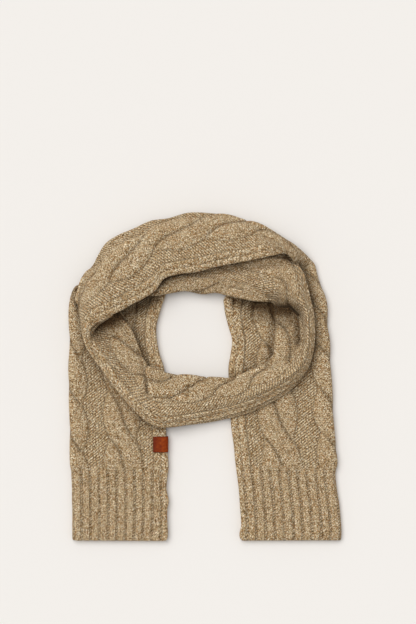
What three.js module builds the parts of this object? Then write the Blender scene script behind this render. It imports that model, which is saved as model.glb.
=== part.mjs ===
// A cable-knit wool scarf, folded in half lengthwise, wound once into a loop and laid on a table with
// both ribbed ends hanging straight down. The frame is in millimetres: the table is z = 0, +Y points from
// the ribbed ends towards the loop, and the origin is the middle of the footprint on the table.
//
// The folded cloth is one rounded solid two layers thick. On one long side it has the two selvedges, one
// on the other with a groove between them, and on the other side the fold. Each stretch is lofted
// through upright sections that run from the selvedges to the fold. A stretch that crosses another is
// draped over it: it is lifted wherever it would come nearer than the gap.
import * as THREE from "three";

// The cloth, as it was knitted and folded.
const HALF_WIDTH = 150; // selvedge to fold; the open scarf is twice as wide
const FOLDED = 10; // thickness of the two layers together, at the plain purl ground
const GAP = 0.3; // between two stretches that join
const DRAPE_GAP = 0.7; // between a stretch and the ones it lies over
const EDGE_ROUND = 2.4; // how far the rounding of the long edges reaches in
const SEAM_GROOVE = 9; // how deep the groove between the two layers goes
const GROOVE_MOUTH = 3; // height of that groove where it opens

// The knitted relief, raised over the purl ground.
const RIB_LENGTH = 100; // the ribbed band at each hem
const RIB_PITCH = 13.6;
const FIRST_RIB_GROOVE = 9.75; // from the selvedge
const RIB_HEIGHT = 2.4;
const EDGE_RIB = { count: 2, pitch: 10.5, height: 1.6 };
const CABLES = [
  { name: "side", from: 40, to: 96 },
  { name: "middle", from: 121, to: 179 }, // the fold cuts it in half
];
const CABLE_HEIGHT = 4.2;
const CABLE_REPEAT = 72; // from one crossing of its two strands to the next
const STRAND = { sway: 0.34, half: 0.7, lift: 0.26, round: 0.62 }; // in shares of half the cable's width
const BLEND = 10; // over which ribs turn into cables
const FOLD_CALM = { reach: 20, share: 0.15 }; // the relief is lower beside the fold

// How finely the solids are cut.
const RING_STEP = 12.5;
const RIB_RING_STEP = 16;
const BAND_COLUMNS = 22;
const DENSE = 48; // samples along a section before its points are placed
const MARK_REACH = 0.75; // a mark lies this near its section's middle, as a share of the section
const BOTTOM_COLUMNS = 8;
const STEEPEST = 1.7; // most that the upright thickness may grow on a slope
const SUPPORT_CELL = 4;
const SUPPORT_REACH = 11;

// Turns rows of numbers into objects, one for each row, by the names in the header.
function table(header, rows) {
  const names = header.trim().split(/\s+/);
  return rows.map((row) => Object.fromEntries(names.map((name, i) => [name, row[i]])));
}

// Sections of the stretches, from the left hem to the right one. sel and fold are the ends of a section
// in plan. z rises from selZ through two points, a share c1 and c2 of the way across, to foldZ. The
// section shows the cloth from vSel to vFold, measured from the selvedge. lip is how far the lower
// layer shows past the upper one at the selvedges, and over is 1 where the stretch lies over others.
const TAIL_HEADER = "selX selY foldX foldY z vSel";
const LEFT_TAIL = table(TAIL_HEADER, [
  [-62, -247, -200, -246, 9.4, 0],
  [-56, -240, -201.5, -240, 10.6, 0],
  [-57, -204, -201.5, -204, 10.6, 0],
  [-54.5, -186, -202, -186, 10.6, 0],
  [-58, -168, -202, -168, 10.6, 0],
  [-56, -147, -203, -147, 10.6, 0],
  [-54.5, -132, -203.5, -132, 10.6, 0],
  [-57.5, -96, -204, -96, 10.6, 0],
  [-59, -51, -204.5, -51, 10.6, 0],
  [-60.5, 6, -206, 6, 10.6, 0],
  [-69.5, 39, -204, 39, 10.6, 0],
  [-73, 72, -205, 72, 10.6, 0],
  [-66.5, 99, -205, 99, 10.6, 0],
  [-60, 118, -203, 118, 11, 0],
  [-56, 131, -199, 131, 10, 0],
  [-53, 140, -191, 136, 7, 0],
]);
const RIGHT_TAIL = table(TAIL_HEADER, [
  [128, 157.5, 168.5, 158, 11, 105],
  [108, 150, 172.5, 147, 11, 85],
  [72, 136, 177.5, 132, 11, 48],
  [30, 120, 182, 117, 11, 5],
  [27, 102, 184.5, 102, 10.8, 0],
  [32.5, 76.5, 185.5, 76.5, 10.6, 0],
  [38.5, 54, 188, 54, 10.6, 0],
  [36, 31.5, 189, 31.5, 10.6, 0],
  [33, 9, 190, 9, 10.6, 0],
  [35.5, -36, 193, -36, 10.6, 0],
  [37, -73.5, 194.5, -73.5, 10.6, 0],
  [41, -103.5, 197.5, -103.5, 10.6, 0],
  [43, -126, 200, -126, 10.6, 0],
  [46, -147, 198, -147, 10.6, 0],
  [49, -171, 200.5, -171, 10.6, 0],
  [50.5, -193.5, 204, -193.5, 10.6, 0],
  [52.5, -222, 206.5, -222, 10.6, 0],
  [50, -234, 207, -234, 10.6, 0],
  [50.5, -242, 206.5, -241.5, 10.6, 0],
  [54, -246.5, 206, -246, 9.4, 0],
]);

const BAND_HEADER = "selX selY foldX foldY selZ c1 z1 c2 z2 foldZ vSel vFold lip over";
const BACK_BAND = table(BAND_HEADER, [
  [-116, 193.5, -113, 114, 20, 0.3, 22, 0.7, 22, 18, 60, 150, 0, 1],
  [-83, 199.5, -80, 117, 20, 0.3, 23, 0.7, 23, 17, 60, 150, 0, 1],
  [-41, 204, -38, 123, 20, 0.3, 24, 0.7, 25, 16, 60, 150, 0, 1],
  [-3.5, 207, -6.5, 119.5, 20, 0.3, 24, 0.72, 27, 16, 60, 150, 0, 1],
  [34, 207, 13, 122, 20, 0.3, 24, 0.7, 31, 17, 60, 150, 0, 1],
  [76, 199.5, 32.5, 115.5, 21, 0.35, 24, 0.62, 36, 19, 55, 150, 0, 1],
  [117, 186, 64, 109.5, 23, 0.35, 30, 0.64, 41, 21, 45, 145, 0, 1],
  [138, 170, 94, 105, 25, 0.35, 34, 0.66, 44, 22, 30, 125, 0, 1],
  [148.5, 148, 99, 94.5, 25, 0.3, 43, 0.68, 42, 19, 14, 105, 0, 1],
  [155.5, 124.5, 99, 84, 21, 0.26, 46, 0.5, 30, 19, 2, 97, 0, 1],
  [161.5, 100.5, 98.5, 72, 21, 0.19, 46, 0.4, 26, 19, 0, 95, 0, 1],
  [164, 72, 98.5, 57, 21, 0.18, 46, 0.37, 25, 19, 0, 93, 0, 1],
  [163, 46.5, 98.5, 43.5, 21, 0.19, 45, 0.4, 25, 19, 0, 91, 0, 1],
  [159, 25.5, 98, 33, 21, 0.22, 45, 0.55, 28, 20, 0, 86, 1, 1],
  [150, 7.5, 94, 24, 21, 0.26, 45, 0.6, 31, 20, 0, 82, 3, 1],
]);
const FRONT_SWATH = table(BAND_HEADER, [
  [150, 7.5, 94, 24, 21, 0.26, 45, 0.6, 31, 20, 0, 82, 3, 1],
  [136, -8, 85, 16.5, 21, 0.32, 44, 0.65, 33, 20, 0, 80, 5, 1],
  [116.5, -22.5, 70, 9, 21, 0.36, 43, 0.7, 34, 20, 0, 79, 6, 1],
  [94, -36, 53.5, 1.5, 20, 0.4, 41, 0.75, 34, 19, 0, 78, 6, 1],
  [67, -49, 35.5, -3, 19, 0.42, 39, 0.77, 33, 19, 0, 78, 6, 1],
  [37, -58.5, 17.5, -4, 18, 0.42, 37, 0.78, 32, 18, 0, 79, 5, 1],
  [7, -66, -2, -0.5, 18, 0.4, 36, 0.78, 31, 18, 0, 83, 4, 1],
  [-23, -72, -21.5, 2, 20, 0.35, 36, 0.75, 31, 18, 0, 88, 2, 1],
  [-48.5, -76.5, -41, 5, 22, 0.28, 36, 0.72, 31, 18, 0, 93, 0, 1],
  [-71, -76, -59, 9, 24, 0.22, 37, 0.7, 32, 19, 0, 95, 0, 1],
  [-90.5, -66, -75.5, 14, 26, 0.2, 38, 0.68, 32, 20, 0, 91, 0, 1],
  [-108.5, -49, -86, 15, 28, 0.19, 40, 0.65, 32, 21, 0, 82, 0, 1],
  [-126.5, -28.5, -91, 21, 29, 0.18, 41, 0.62, 30, 21, 0, 78, 0, 1],
  [-144.5, -4.5, -96.5, 36, 30, 0.17, 42, 0.6, 28, 20, 0, 79, 0, 1],
  [-161, 19.5, -104, 54, 30, 0.16, 42, 0.6, 26, 20, 0, 82, 0, 1],
  [-173, 36, -111.5, 73.5, 29, 0.15, 40, 0.55, 24, 20, 0, 85, 0, 1],
  [-180, 48, -120.5, 91.5, 25, 0.15, 30, 0.5, 22, 20, 0, 80, 0, 1],
  [-181, 61.5, -128, 102, 21, 0.2, 22, 0.5, 21, 20, 0, 74, 0, 1],
  [-179, 74, -134, 108, 20, 0.2, 21, 0.5, 21, 20, 0, 68, 0, 1],
]);
const TOP_SWATH = table(BAND_HEADER, [
  [-180, 66, -188, 132, 26, 0.25, 28, 0.7, 24, 20, 0, 76, 0, 1],
  [-176, 72, -184.5, 145, 41, 0.25, 43, 0.7, 34, 14.5, 0, 88, 0, 1],
  [-165, 81, -177.5, 157, 43, 0.25, 46, 0.7, 38, 12, 0, 95, 0, 1],
  [-150.5, 87, -168.5, 169.5, 43, 0.25, 48, 0.7, 38, 10, 0, 103, 0, 1],
  [-129.5, 95, -159.5, 187.5, 42, 0.25, 48, 0.7, 38, 10, 0, 112, 0, 1],
  [-110, 106, -149, 202.5, 42, 0.28, 48, 0.7, 38, 10, 0, 118, 0, 1],
  [-90.5, 116, -131, 214, 42, 0.28, 48, 0.7, 37, 10, 0, 119, 0, 1],
  [-74, 127.5, -108.5, 223.5, 42, 0.28, 47, 0.7, 37, 10, 0, 115, 0, 1],
  [-60.5, 145, -83, 235, 42, 0.28, 47, 0.7, 37, 10, 0, 108, 0, 1],
  [-38, 151.5, -56, 239, 41, 0.28, 46, 0.7, 36, 10, 0, 105, 0, 1],
  [-11, 155, -27.5, 247, 41, 0.28, 46, 0.7, 36, 10, 0, 106, 0, 1],
  [14.5, 162, 1, 247, 40, 0.28, 46, 0.7, 35, 10, 0, 101, 0, 1],
  [40, 167, 31, 243, 40, 0.3, 45, 0.7, 35, 10, 0, 93, 0, 1],
  [67, 172, 60, 233.5, 39, 0.3, 44, 0.7, 34, 10, 0, 82, 0, 1],
  [94, 178.5, 86.5, 222.5, 39, 0.35, 43, 0.7, 33, 10, 0, 70, 0, 1],
  [115, 182, 112, 209.5, 38, 0.35, 41, 0.7, 31, 10, 20, 72, 0, 1],
  [128, 179, 136, 197, 35, 0.35, 37, 0.7, 28, 10, 50, 88, 0, 1],
  [138, 175.5, 150.5, 184.5, 27, 0.35, 28, 0.7, 22, 10, 80, 110, 0, 0.5],
  [141, 166, 163, 171, 11, 0.4, 15, 0.7, 14, 10, 105, 131, 0, 0],
  [144, 160.2, 169, 160.8, 10, 0.4, 11, 0.7, 12, 11, 105, 131, 0, 0],
]);

// Soft troughs pressed into a stretch, in plan from one point to another.
const CREASE_HEADER = "x1 y1 x2 y2 depth width";
const FRONT_CREASES = table(CREASE_HEADER, [
  [-92, 22, -87, -24, 9, 6], // where the face beside the corner overlaps the front
  [-80, -29, -8, -10, 4, 7], // under the inner cable of the front
]);
const BACK_CREASES = table(CREASE_HEADER, [
  [38, 134, 56, 130, 2.5, 4], // a nick in the roll over the right end
  [96, 28, 99, 14, 4, 4], // where the roll dives under the turn
  [104, 101, 125, 102, 5, 5], // under the roll, where it passes over the inner face
  [125, 102, 138, 90, 4, 5],
]);
const TOP_CREASES = table(CREASE_HEADER, [
  [-187, 128, -184, 100, 3, 5], // beside the corner bump of the left end
]);

// Lines along which the cloth is pulled smooth. Here depth is the share of the relief that goes.
const LEFT_PLAIN = table(CREASE_HEADER, [
  [-187, 108, -184, 134, 1, 14], // under the loop's left side
]);
const FRONT_PLAIN = table(CREASE_HEADER, [
  [-168, 74, -140, 74, 0.9, 18], // the inside of the left corner
]);
const BACK_PLAIN = table(CREASE_HEADER, [
  [40, 136, 112, 132, 0.8, 20], // the roll
  [112, 132, 146, 112, 0.9, 18],
]);
const DIVE_PLAIN = table(CREASE_HEADER, [
  [120, 190, 150, 176, 1, 18], // where the loop narrows and dives
  [150, 176, 172, 140, 0.9, 15],
]);

// Where a cable's two strands lie side by side, in plan, counted along each stretch.
const TWIST_HEADER = "x y number";
const LEFT_TWISTS = {
  side: table(TWIST_HEADER, [[-125, -129, 0], [-125, -57, 1]]),
  middle: table(TWIST_HEADER, [[-205, -77, 0], [-205, -9, 1]]),
};
const BACK_TWISTS = {
  side: table(TWIST_HEADER, [[122, 16, -0.5]]),
  middle: table(TWIST_HEADER, [[-33.5, 124.5, 0], [67, 109.5, 1]]),
};
const FRONT_TWISTS = {
  side: table(TWIST_HEADER, [[94, -1.5, 0], [34, -12, 1], [-18.5, -15, 2], [-81.5, -10.5, 3]]),
  middle: [],
};
const TOP_TWISTS = {
  side: table(TWIST_HEADER, [[-117.5, 171, 0], [-38, 210, 1], [35.5, 222, 2]]),
  middle: [],
};
const RIGHT_TWISTS = {
  side: table(TWIST_HEADER, [[109, -54, 0], [112, -135, 1]]),
  middle: table(TWIST_HEADER, [
    [180, 130, 0],
    [190, 71.5, 1],
    [190, 20.5, 2],
    [193, -54.5, 3],
    [198, -114.5, 4],
  ]),
};

// A leather tab folded over the upper selvedge of the left end, from one y to another. It reaches in
// over the ribs and is tucked into the groove below.
const TAB = { reach: 21, from: -114, to: -90, thickness: 1.5, tuck: 3.5 };

const mix = (a, b, t) => a + (b - a) * t;
const clamp01 = (t) => Math.min(1, Math.max(0, t));
const ease = (t) => t * t * (3 - 2 * t);
const fraction = (t) => t - Math.floor(t);

// A row of ribs: 1 on a rib's rounded back, 0 in the groove between two.
function ribProfile(v, firstGroove, pitch) {
  const across = fraction((v - firstGroove) / pitch);
  return Math.sqrt(Math.sin(Math.PI * across));
}

// A rope of two strands, each of which passes over the other in turn.
function cableRelief(v, cable, turns, leanSign) {
  const across = (2 * (v - cable.from)) / (cable.to - cable.from) - 1;
  const angle = Math.PI * turns;
  let height = 0;
  for (const side of [1, -1]) {
    const off = (across + side * leanSign * STRAND.sway * Math.cos(angle)) / STRAND.half;
    const body = Math.pow(Math.max(0, 1 - off * off), STRAND.round);
    height = Math.max(height, CABLE_HEIGHT * body * (1 + side * STRAND.lift * Math.sin(angle)));
  }
  return height;
}

// Height of the knit over the purl ground, u along the scarf from its left hem and v from the selvedge.
function knitRelief(u, v, turns, leanSign) {
  const fromHem = Math.min(u, scarfLength - u);
  const ribShare = 1 - ease(clamp01((fromHem - RIB_LENGTH) / BLEND));
  const ribbed = RIB_HEIGHT * ribProfile(v, FIRST_RIB_GROOVE, RIB_PITCH);
  let body = 0;
  for (const cable of CABLES) body += cableRelief(v, cable, turns[cable.name], leanSign);
  if (v < EDGE_RIB.count * EDGE_RIB.pitch) body += EDGE_RIB.height * ribProfile(v, 0, EDGE_RIB.pitch);
  return mix(body, ribbed, ribShare);
}

// The height of what lies below, on a square grid over the table.
class Support {
  constructor() {
    this.low = -260;
    this.count = Math.round((2 * -this.low) / SUPPORT_CELL);
    this.cells = new Float32Array(this.count * this.count);
  }

  // Raises the cells that a geometry's corners and triangles cover.
  stamp(geometry) {
    const p = geometry.getAttribute("position");
    const index = geometry.index;
    for (let i = 0; i < p.count; i++) {
      const cell = this.cellOf(p.getX(i)) * this.count + this.cellOf(p.getY(i));
      this.cells[cell] = Math.max(this.cells[cell], p.getZ(i));
    }
    const corner = [new THREE.Vector3(), new THREE.Vector3(), new THREE.Vector3()];
    for (let i = 0; i < index.count; i += 3) {
      corner.forEach((c, k) => c.fromBufferAttribute(p, index.getX(i + k)));
      this.stampTriangle(...corner);
    }
  }

  stampTriangle(a, b, c) {
    const area = (b.x - a.x) * (c.y - a.y) - (c.x - a.x) * (b.y - a.y);
    if (Math.abs(area) < 1e-6) return;
    const [iFirst, iLast] = [this.cellOf(Math.min(a.x, b.x, c.x)), this.cellOf(Math.max(a.x, b.x, c.x))];
    const [jFirst, jLast] = [this.cellOf(Math.min(a.y, b.y, c.y)), this.cellOf(Math.max(a.y, b.y, c.y))];
    for (let i = iFirst; i <= iLast; i++) {
      for (let j = jFirst; j <= jLast; j++) {
        const x = this.low + (i + 0.5) * SUPPORT_CELL;
        const y = this.low + (j + 0.5) * SUPPORT_CELL;
        const s = ((x - a.x) * (c.y - a.y) - (c.x - a.x) * (y - a.y)) / area;
        const t = ((b.x - a.x) * (y - a.y) - (x - a.x) * (b.y - a.y)) / area;
        if (s < -0.2 || t < -0.2 || s + t > 1.2) continue;
        const z = Math.min(Math.max(a.z, b.z, c.z), a.z + s * (b.z - a.z) + t * (c.z - a.z));
        const cell = i * this.count + j;
        this.cells[cell] = Math.max(this.cells[cell], z);
      }
    }
  }

  cellOf(x) {
    return Math.floor((x - this.low) / SUPPORT_CELL);
  }

  // A copy in which each cell has the greatest height within the reach.
  widened(reach) {
    const wide = new Support();
    const n = Math.ceil(reach / SUPPORT_CELL);
    for (let i = 0; i < this.count; i++) {
      for (let j = 0; j < this.count; j++) {
        let top = 0;
        for (let di = -n; di <= n; di++) {
          for (let dj = -n; dj <= n; dj++) {
            if (Math.hypot(di, dj) * SUPPORT_CELL > reach) continue;
            top = Math.max(top, this.cells[(i + di) * this.count + j + dj] ?? 0);
          }
        }
        wide.cells[i * this.count + j] = top;
      }
    }
    return wide;
  }

  // The height at a point, smooth between the cells.
  at(x, y) {
    const fx = (x - this.low) / SUPPORT_CELL - 0.5;
    const fy = (y - this.low) / SUPPORT_CELL - 0.5;
    const i = Math.floor(fx);
    const j = Math.floor(fy);
    const cell = (di, dj) => this.cells[(i + di) * this.count + j + dj] ?? 0;
    const near = mix(cell(0, 0), cell(0, 1), fy - j);
    const far = mix(cell(1, 0), cell(1, 1), fy - j);
    return mix(near, far, fx - i);
  }
}

// Fills in what a tail's short row leaves out.
function tailRow({ z, ...places }) {
  const flat = { selZ: z, c1: 0.3, z1: z, c2: 0.7, z2: z, foldZ: z };
  return { ...places, ...flat, vFold: HALF_WIDTH, lip: 0, over: 0 };
}

// The row at a position between the rows, by a smooth curve through each column.
function rowAt(rows, position) {
  const i = Math.min(rows.length - 2, Math.floor(position));
  const t = position - i;
  const before = rows[Math.max(0, i - 1)];
  const after = rows[Math.min(rows.length - 1, i + 2)];
  const made = {};
  for (const name of Object.keys(rows[0])) {
    const [a, b, c, d] = [before[name], rows[i][name], rows[i + 1][name], after[name]];
    const bend = 2 * a - 5 * b + 4 * c - d + t * (3 * b - a - 3 * c + d);
    made[name] = b + 0.5 * t * (c - a + t * bend);
  }
  return made;
}

// A smooth curve through points with rising x, which never overshoots them.
function monotone(xs, ys) {
  const slopes = xs.slice(1).map((x, i) => (ys[i + 1] - ys[i]) / (x - xs[i]));
  const tangents = ys.map((_, i) => {
    if (i === 0) return slopes[0];
    if (i === ys.length - 1) return slopes[i - 1];
    const [a, b] = [slopes[i - 1], slopes[i]];
    return a * b <= 0 ? 0 : (2 * a * b) / (a + b);
  });
  return (x) => {
    let i = 0;
    while (i < slopes.length - 1 && x > xs[i + 1]) i++;
    const h = xs[i + 1] - xs[i];
    const t = (x - xs[i]) / h;
    const start = (1 + 2 * t) * (1 - t) * (1 - t) * ys[i] + t * (1 - t) * (1 - t) * h * tangents[i];
    return start + t * t * (3 - 2 * t) * ys[i + 1] + t * t * (t - 1) * h * tangents[i + 1];
  };
}

// How far the creases press a point down.
function creaseDepth(creases, x, y) {
  let depth = 0;
  for (const c of creases) {
    const along = new THREE.Vector2(c.x2 - c.x1, c.y2 - c.y1);
    const t = ((x - c.x1) * along.x + (y - c.y1) * along.y) / along.lengthSq();
    const near = clamp01(t);
    const away = Math.hypot(x - c.x1 - near * along.x, y - c.y1 - near * along.y);
    depth += c.depth * Math.exp(-Math.pow(away / c.width, 2));
  }
  return depth;
}

// The upper surface of a section: where each share of the width lies along it, and how high.
function sectionCurve(row, support, creases) {
  const length = Math.hypot(row.foldX - row.selX, row.foldY - row.selY);
  const rise = monotone([0, row.c1, row.c2, 1], [row.selZ, row.z1, row.z2, row.foldZ]);
  const points = [];
  let walked = 0;
  for (let i = 0; i <= DENSE; i++) {
    const t = i / DENSE;
    const x = mix(row.selX, row.foldX, t);
    const y = mix(row.selY, row.foldY, t);
    const below = support ? clamp01(row.over) * support.at(x, y) : 0;
    const pressed = rise(t) - creaseDepth(creases, x, y);
    const z = Math.max(pressed, below ? below + DRAPE_GAP + FOLDED : 0);
    if (i) walked += Math.hypot(length / DENSE, z - points[i - 1].z);
    points.push({ a: t * length, z, below, walked });
  }
  return { length, points, total: walked };
}

// The point of a section's curve that lies a share of its developed width from the selvedge.
function pointOn(curve, share) {
  const target = share * curve.total;
  let i = 1;
  while (i < curve.points.length - 1 && curve.points[i].walked < target) i++;
  const [p, q] = [curve.points[i - 1], curve.points[i]];
  const t = (target - p.walked) / (q.walked - p.walked || 1);
  const slope = (q.z - p.z) / (q.a - p.a);
  return { a: mix(p.a, q.a, t), z: mix(p.z, q.z, t), below: mix(p.below, q.below, t), slope };
}

// The underside below a point of the curve: the cloth's thickness away, but clear of what lies below.
function undersideOf(point, onTable) {
  if (onTable) return 0;
  const steep = Math.min(STEEPEST, Math.hypot(1, point.slope));
  return Math.max(point.below ? point.below + DRAPE_GAP : 0, point.z - FOLDED * steep);
}

// One closed ring in the plane of its section: the upper surface from selvedge to fold, round the fold,
// the underside, and the two selvedges with the groove between them.
function ringOf(row, shares, u, turns, spec) {
  const curve = sectionCurve(row, spec.support, spec.creases);
  const usable = 1 - (2 * EDGE_ROUND) / curve.total;
  const underside = (point) => undersideOf(point, spec.onTable);
  const top = shares.map((share) => {
    const p = pointOn(curve, EDGE_ROUND / curve.total + share * usable);
    const across = p.a / curve.length;
    const [x, y] = [mix(row.selX, row.foldX, across), mix(row.selY, row.foldY, across)];
    const pulled = creaseDepth(spec.plain, x, y);
    const fromFold = clamp01((curve.length - p.a) / FOLD_CALM.reach);
    const shown = mix(FOLD_CALM.share, 1, ease(fromFold)) * clamp01(1 - pulled);
    const raised = shown * knitRelief(u, mix(row.vSel, row.vFold, share), turns, spec.leanSign);
    const steep = Math.hypot(1, p.slope);
    return { a: p.a - (raised * p.slope) / steep, z: p.z + raised / steep };
  });
  const { length } = curve;
  const start = pointOn(curve, 0);
  const end = pointOn(curve, 1);
  const startFloor = underside(start);
  const endFloor = underside(end);
  const endThick = end.z - endFloor;
  const foldEdge = [
    { a: length - 0.7, z: end.z - 0.22 * endThick },
    { a: length, z: end.z - 0.5 * endThick },
    { a: length - 0.7, z: end.z - 0.78 * endThick },
  ];
  const bottom = [];
  for (let i = 0; i < spec.bottomColumns; i++) {
    const share = 1 - i / (spec.bottomColumns - 1);
    const p = pointOn(curve, EDGE_ROUND / curve.total + share * usable);
    bottom.push({ a: p.a, z: underside(p) });
  }
  const middle = startFloor + 0.5 * (start.z - startFloor);
  const deep = pointOn(curve, SEAM_GROOVE / curve.total);
  const selEdge = [
    { a: 0.6 - row.lip, z: startFloor + 0.9 },
    { a: -row.lip, z: mix(startFloor, middle - GROOVE_MOUTH / 2, 0.6) },
    { a: 0.8 - row.lip, z: middle - GROOVE_MOUTH / 2 },
    { a: deep.a, z: 0.5 * (deep.z + underside(deep)) },
    { a: 0.8, z: middle + GROOVE_MOUTH / 2 },
    { a: 0, z: mix(start.z, middle + GROOVE_MOUTH / 2, 0.6) },
  ];
  return { row, length, top, foldEdge, bottom, selEdge, u };
}

// Puts a ring's own point into the frame.
function placed(ring, point) {
  const { selX, selY, foldX, foldY } = ring.row;
  const t = point.a / ring.length;
  return new THREE.Vector3(mix(selX, foldX, t), mix(selY, foldY, t), point.z);
}

// The length walked along the middle of a stretch, to close-set positions among its rows.
function walk(rows) {
  const fine = 24;
  const samples = [];
  let walked = 0;
  let last = null;
  for (let i = 0; i <= (rows.length - 1) * fine; i++) {
    const row = rowAt(rows, i / fine);
    const middle = new THREE.Vector2((row.selX + row.foldX) / 2, (row.selY + row.foldY) / 2);
    walked += last ? middle.distanceTo(last) : 0;
    last = middle;
    samples.push({ position: i / fine, walked, row, middle });
  }
  return samples;
}

// The length walked to the section that passes through a marked point.
function walkedTo(samples, mark) {
  let nearest = { off: Infinity, walked: 0 };
  for (const { row, middle, walked } of samples) {
    const along = new THREE.Vector2(row.foldX - row.selX, row.foldY - row.selY);
    const away = new THREE.Vector2(mark.x, mark.y).sub(middle);
    if (away.length() > MARK_REACH * along.length()) continue;
    const off = Math.abs(away.cross(along)) / along.length();
    if (off < nearest.off) nearest = { off, walked };
  }
  return nearest.walked;
}

// A cable's half turns at each length walked: through the marks, and at the usual pitch beyond them.
function twist(samples, marks) {
  if (!marks.length) return (walked) => walked / CABLE_REPEAT;
  const places = marks.map((mark) => walkedTo(samples, mark));
  return (walked) => {
    const next = places.findIndex((place) => place > walked);
    const near = next < 0 ? places.length - 1 : Math.max(0, next - 1);
    const bounded = next > 0;
    const span = bounded ? places[next] - places[near] : CABLE_REPEAT;
    return marks[near].number + (walked - places[near]) / span;
  };
}

// Positions among the rows, evenly spaced along the middle of the stretch, with the length walked.
function stations(rows, stepAt) {
  const samples = walk(rows);
  const length = samples[samples.length - 1].walked;
  const made = [];
  let next = 0;
  for (const sample of samples) {
    if (sample.walked < next) continue;
    made.push(sample);
    next = sample.walked + stepAt(sample.walked, length);
  }
  const lastSample = samples[samples.length - 1];
  if (made[made.length - 1] !== lastSample) {
    if (lastSample.walked - made[made.length - 1].walked < 3) made.pop();
    made.push(lastSample);
  }
  return { places: made, length };
}

// Joins two lines of vertices, each given with its position across, by triangles.
function zip(faces, lineA, lineB) {
  let i = 0;
  let j = 0;
  while (i < lineA.length - 1 || j < lineB.length - 1) {
    const takeA = j === lineB.length - 1 || (i < lineA.length - 1 && lineA[i + 1].a <= lineB[j + 1].a);
    if (takeA) faces.push(lineA[i].id, lineA[i + 1].id, lineB[j].id);
    else faces.push(lineA[i].id, lineB[j + 1].id, lineB[j].id);
    if (takeA) i++;
    else j++;
  }
}

// A closed geometry through the rings. A hem end shows the two layers apart; any other end is flat.
function loft(rings, hemFirst, hemLast) {
  const positions = [];
  const faces = [];
  const add = (v) => positions.push(v.x, v.y, v.z) / 3 - 1;
  const loops = rings.map((ring) =>
    [...ring.top, ...ring.foldEdge, ...ring.bottom, ...ring.selEdge].map((p) => add(placed(ring, p))),
  );
  const around = loops[0].length;
  for (let i = 0; i + 1 < loops.length; i++) {
    for (let k = 0; k < around; k++) {
      const m = (k + 1) % around;
      faces.push(loops[i][k], loops[i + 1][k], loops[i][m]);
      faces.push(loops[i][m], loops[i + 1][k], loops[i + 1][m]);
    }
  }
  const flatEnd = (ring, loop, flip) => {
    const outline = [...ring.top, ...ring.foldEdge, ...ring.bottom, ...ring.selEdge];
    const contour = outline.map((p) => new THREE.Vector2(p.a, p.z));
    for (const [a, b, c] of THREE.ShapeUtils.triangulateShape(contour, [])) {
      if (flip) faces.push(loop[a], loop[c], loop[b]);
      else faces.push(loop[a], loop[b], loop[c]);
    }
  };
  const hemEnd = (ring, loop, inward, flip) => {
    const own = [];
    const fan = (side, tip) => side.slice(1).forEach((id, i) => own.push(side[i], id, tip));
    const count = ring.top.length;
    const across = (i) => mix(SEAM_GROOVE, ring.length - EDGE_ROUND, i / (count - 1));
    const middle = ring.top.map((_, i) => {
      const depth = SEAM_GROOVE * Math.sqrt(Math.sin(Math.PI * mix(0.08, 0.92, i / (count - 1))));
      const point = placed(ring, { a: across(i), z: 0.5 * FOLDED });
      return { a: across(i), id: add(point.addScaledVector(inward, depth)) };
    });
    const foldStart = count - 1;
    const bottomStart = count + ring.foldEdge.length;
    const selStart = bottomStart + ring.bottom.length;
    const topLine = ring.top.map((_, i) => ({ a: across(i), id: loop[i] }));
    const bottomLine = ring.bottom.map((p, i) => ({ a: p.a, id: loop[bottomStart + i] })).reverse();
    zip(own, topLine, middle);
    zip(own, middle, bottomLine);
    fan(loop.slice(foldStart, bottomStart + 1), middle[count - 1].id);
    fan([...loop.slice(selStart - 1), loop[0]], middle[0].id);
    for (let i = 0; i < own.length; i += 3) {
      if (flip) faces.push(own[i], own[i + 2], own[i + 1]);
      else faces.push(own[i], own[i + 1], own[i + 2]);
    }
  };
  const last = rings.length - 1;
  const ahead = (a, b) => placed(b, b.bottom[0]).sub(placed(a, a.bottom[0])).setZ(0).normalize();
  if (hemFirst) hemEnd(rings[0], loops[0], ahead(rings[0], rings[1]), false);
  else flatEnd(rings[0], loops[0], true);
  if (hemLast) hemEnd(rings[last], loops[last], ahead(rings[last], rings[last - 1]), true);
  else flatEnd(rings[last], loops[last], false);
  const geometry = new THREE.BufferGeometry();
  geometry.setAttribute("position", new THREE.Float32BufferAttribute(positions, 3));
  geometry.setIndex(faces);
  return facingOut(geometry);
}

// Turns the faces round if they point inwards.
function facingOut(geometry) {
  const p = geometry.getAttribute("position");
  const index = geometry.index;
  const [a, b, c] = [new THREE.Vector3(), new THREE.Vector3(), new THREE.Vector3()];
  let volume = 0;
  for (let i = 0; i < index.count; i += 3) {
    a.fromBufferAttribute(p, index.getX(i));
    b.fromBufferAttribute(p, index.getX(i + 1));
    c.fromBufferAttribute(p, index.getX(i + 2));
    volume += a.dot(b.cross(c));
  }
  if (volume < 0) {
    for (let i = 0; i < index.count; i += 3) {
      const second = index.getX(i + 1);
      index.setX(i + 1, index.getX(i + 2));
      index.setX(i + 2, second);
    }
  }
  geometry.computeVertexNormals();
  return geometry;
}

// Shares of the width at which a tail has its points: the groove and both shoulders of each rib.
function tailShares() {
  const marks = [0, 3, 6.6];
  for (let groove = FIRST_RIB_GROOVE; groove < HALF_WIDTH - 3; groove += RIB_PITCH) {
    marks.push(groove, groove + 3.2);
    if (groove + 10.4 < HALF_WIDTH - 2) marks.push(groove + 10.4);
  }
  marks.push(HALF_WIDTH);
  return marks.map((mark) => mark / HALF_WIDTH);
}

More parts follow.
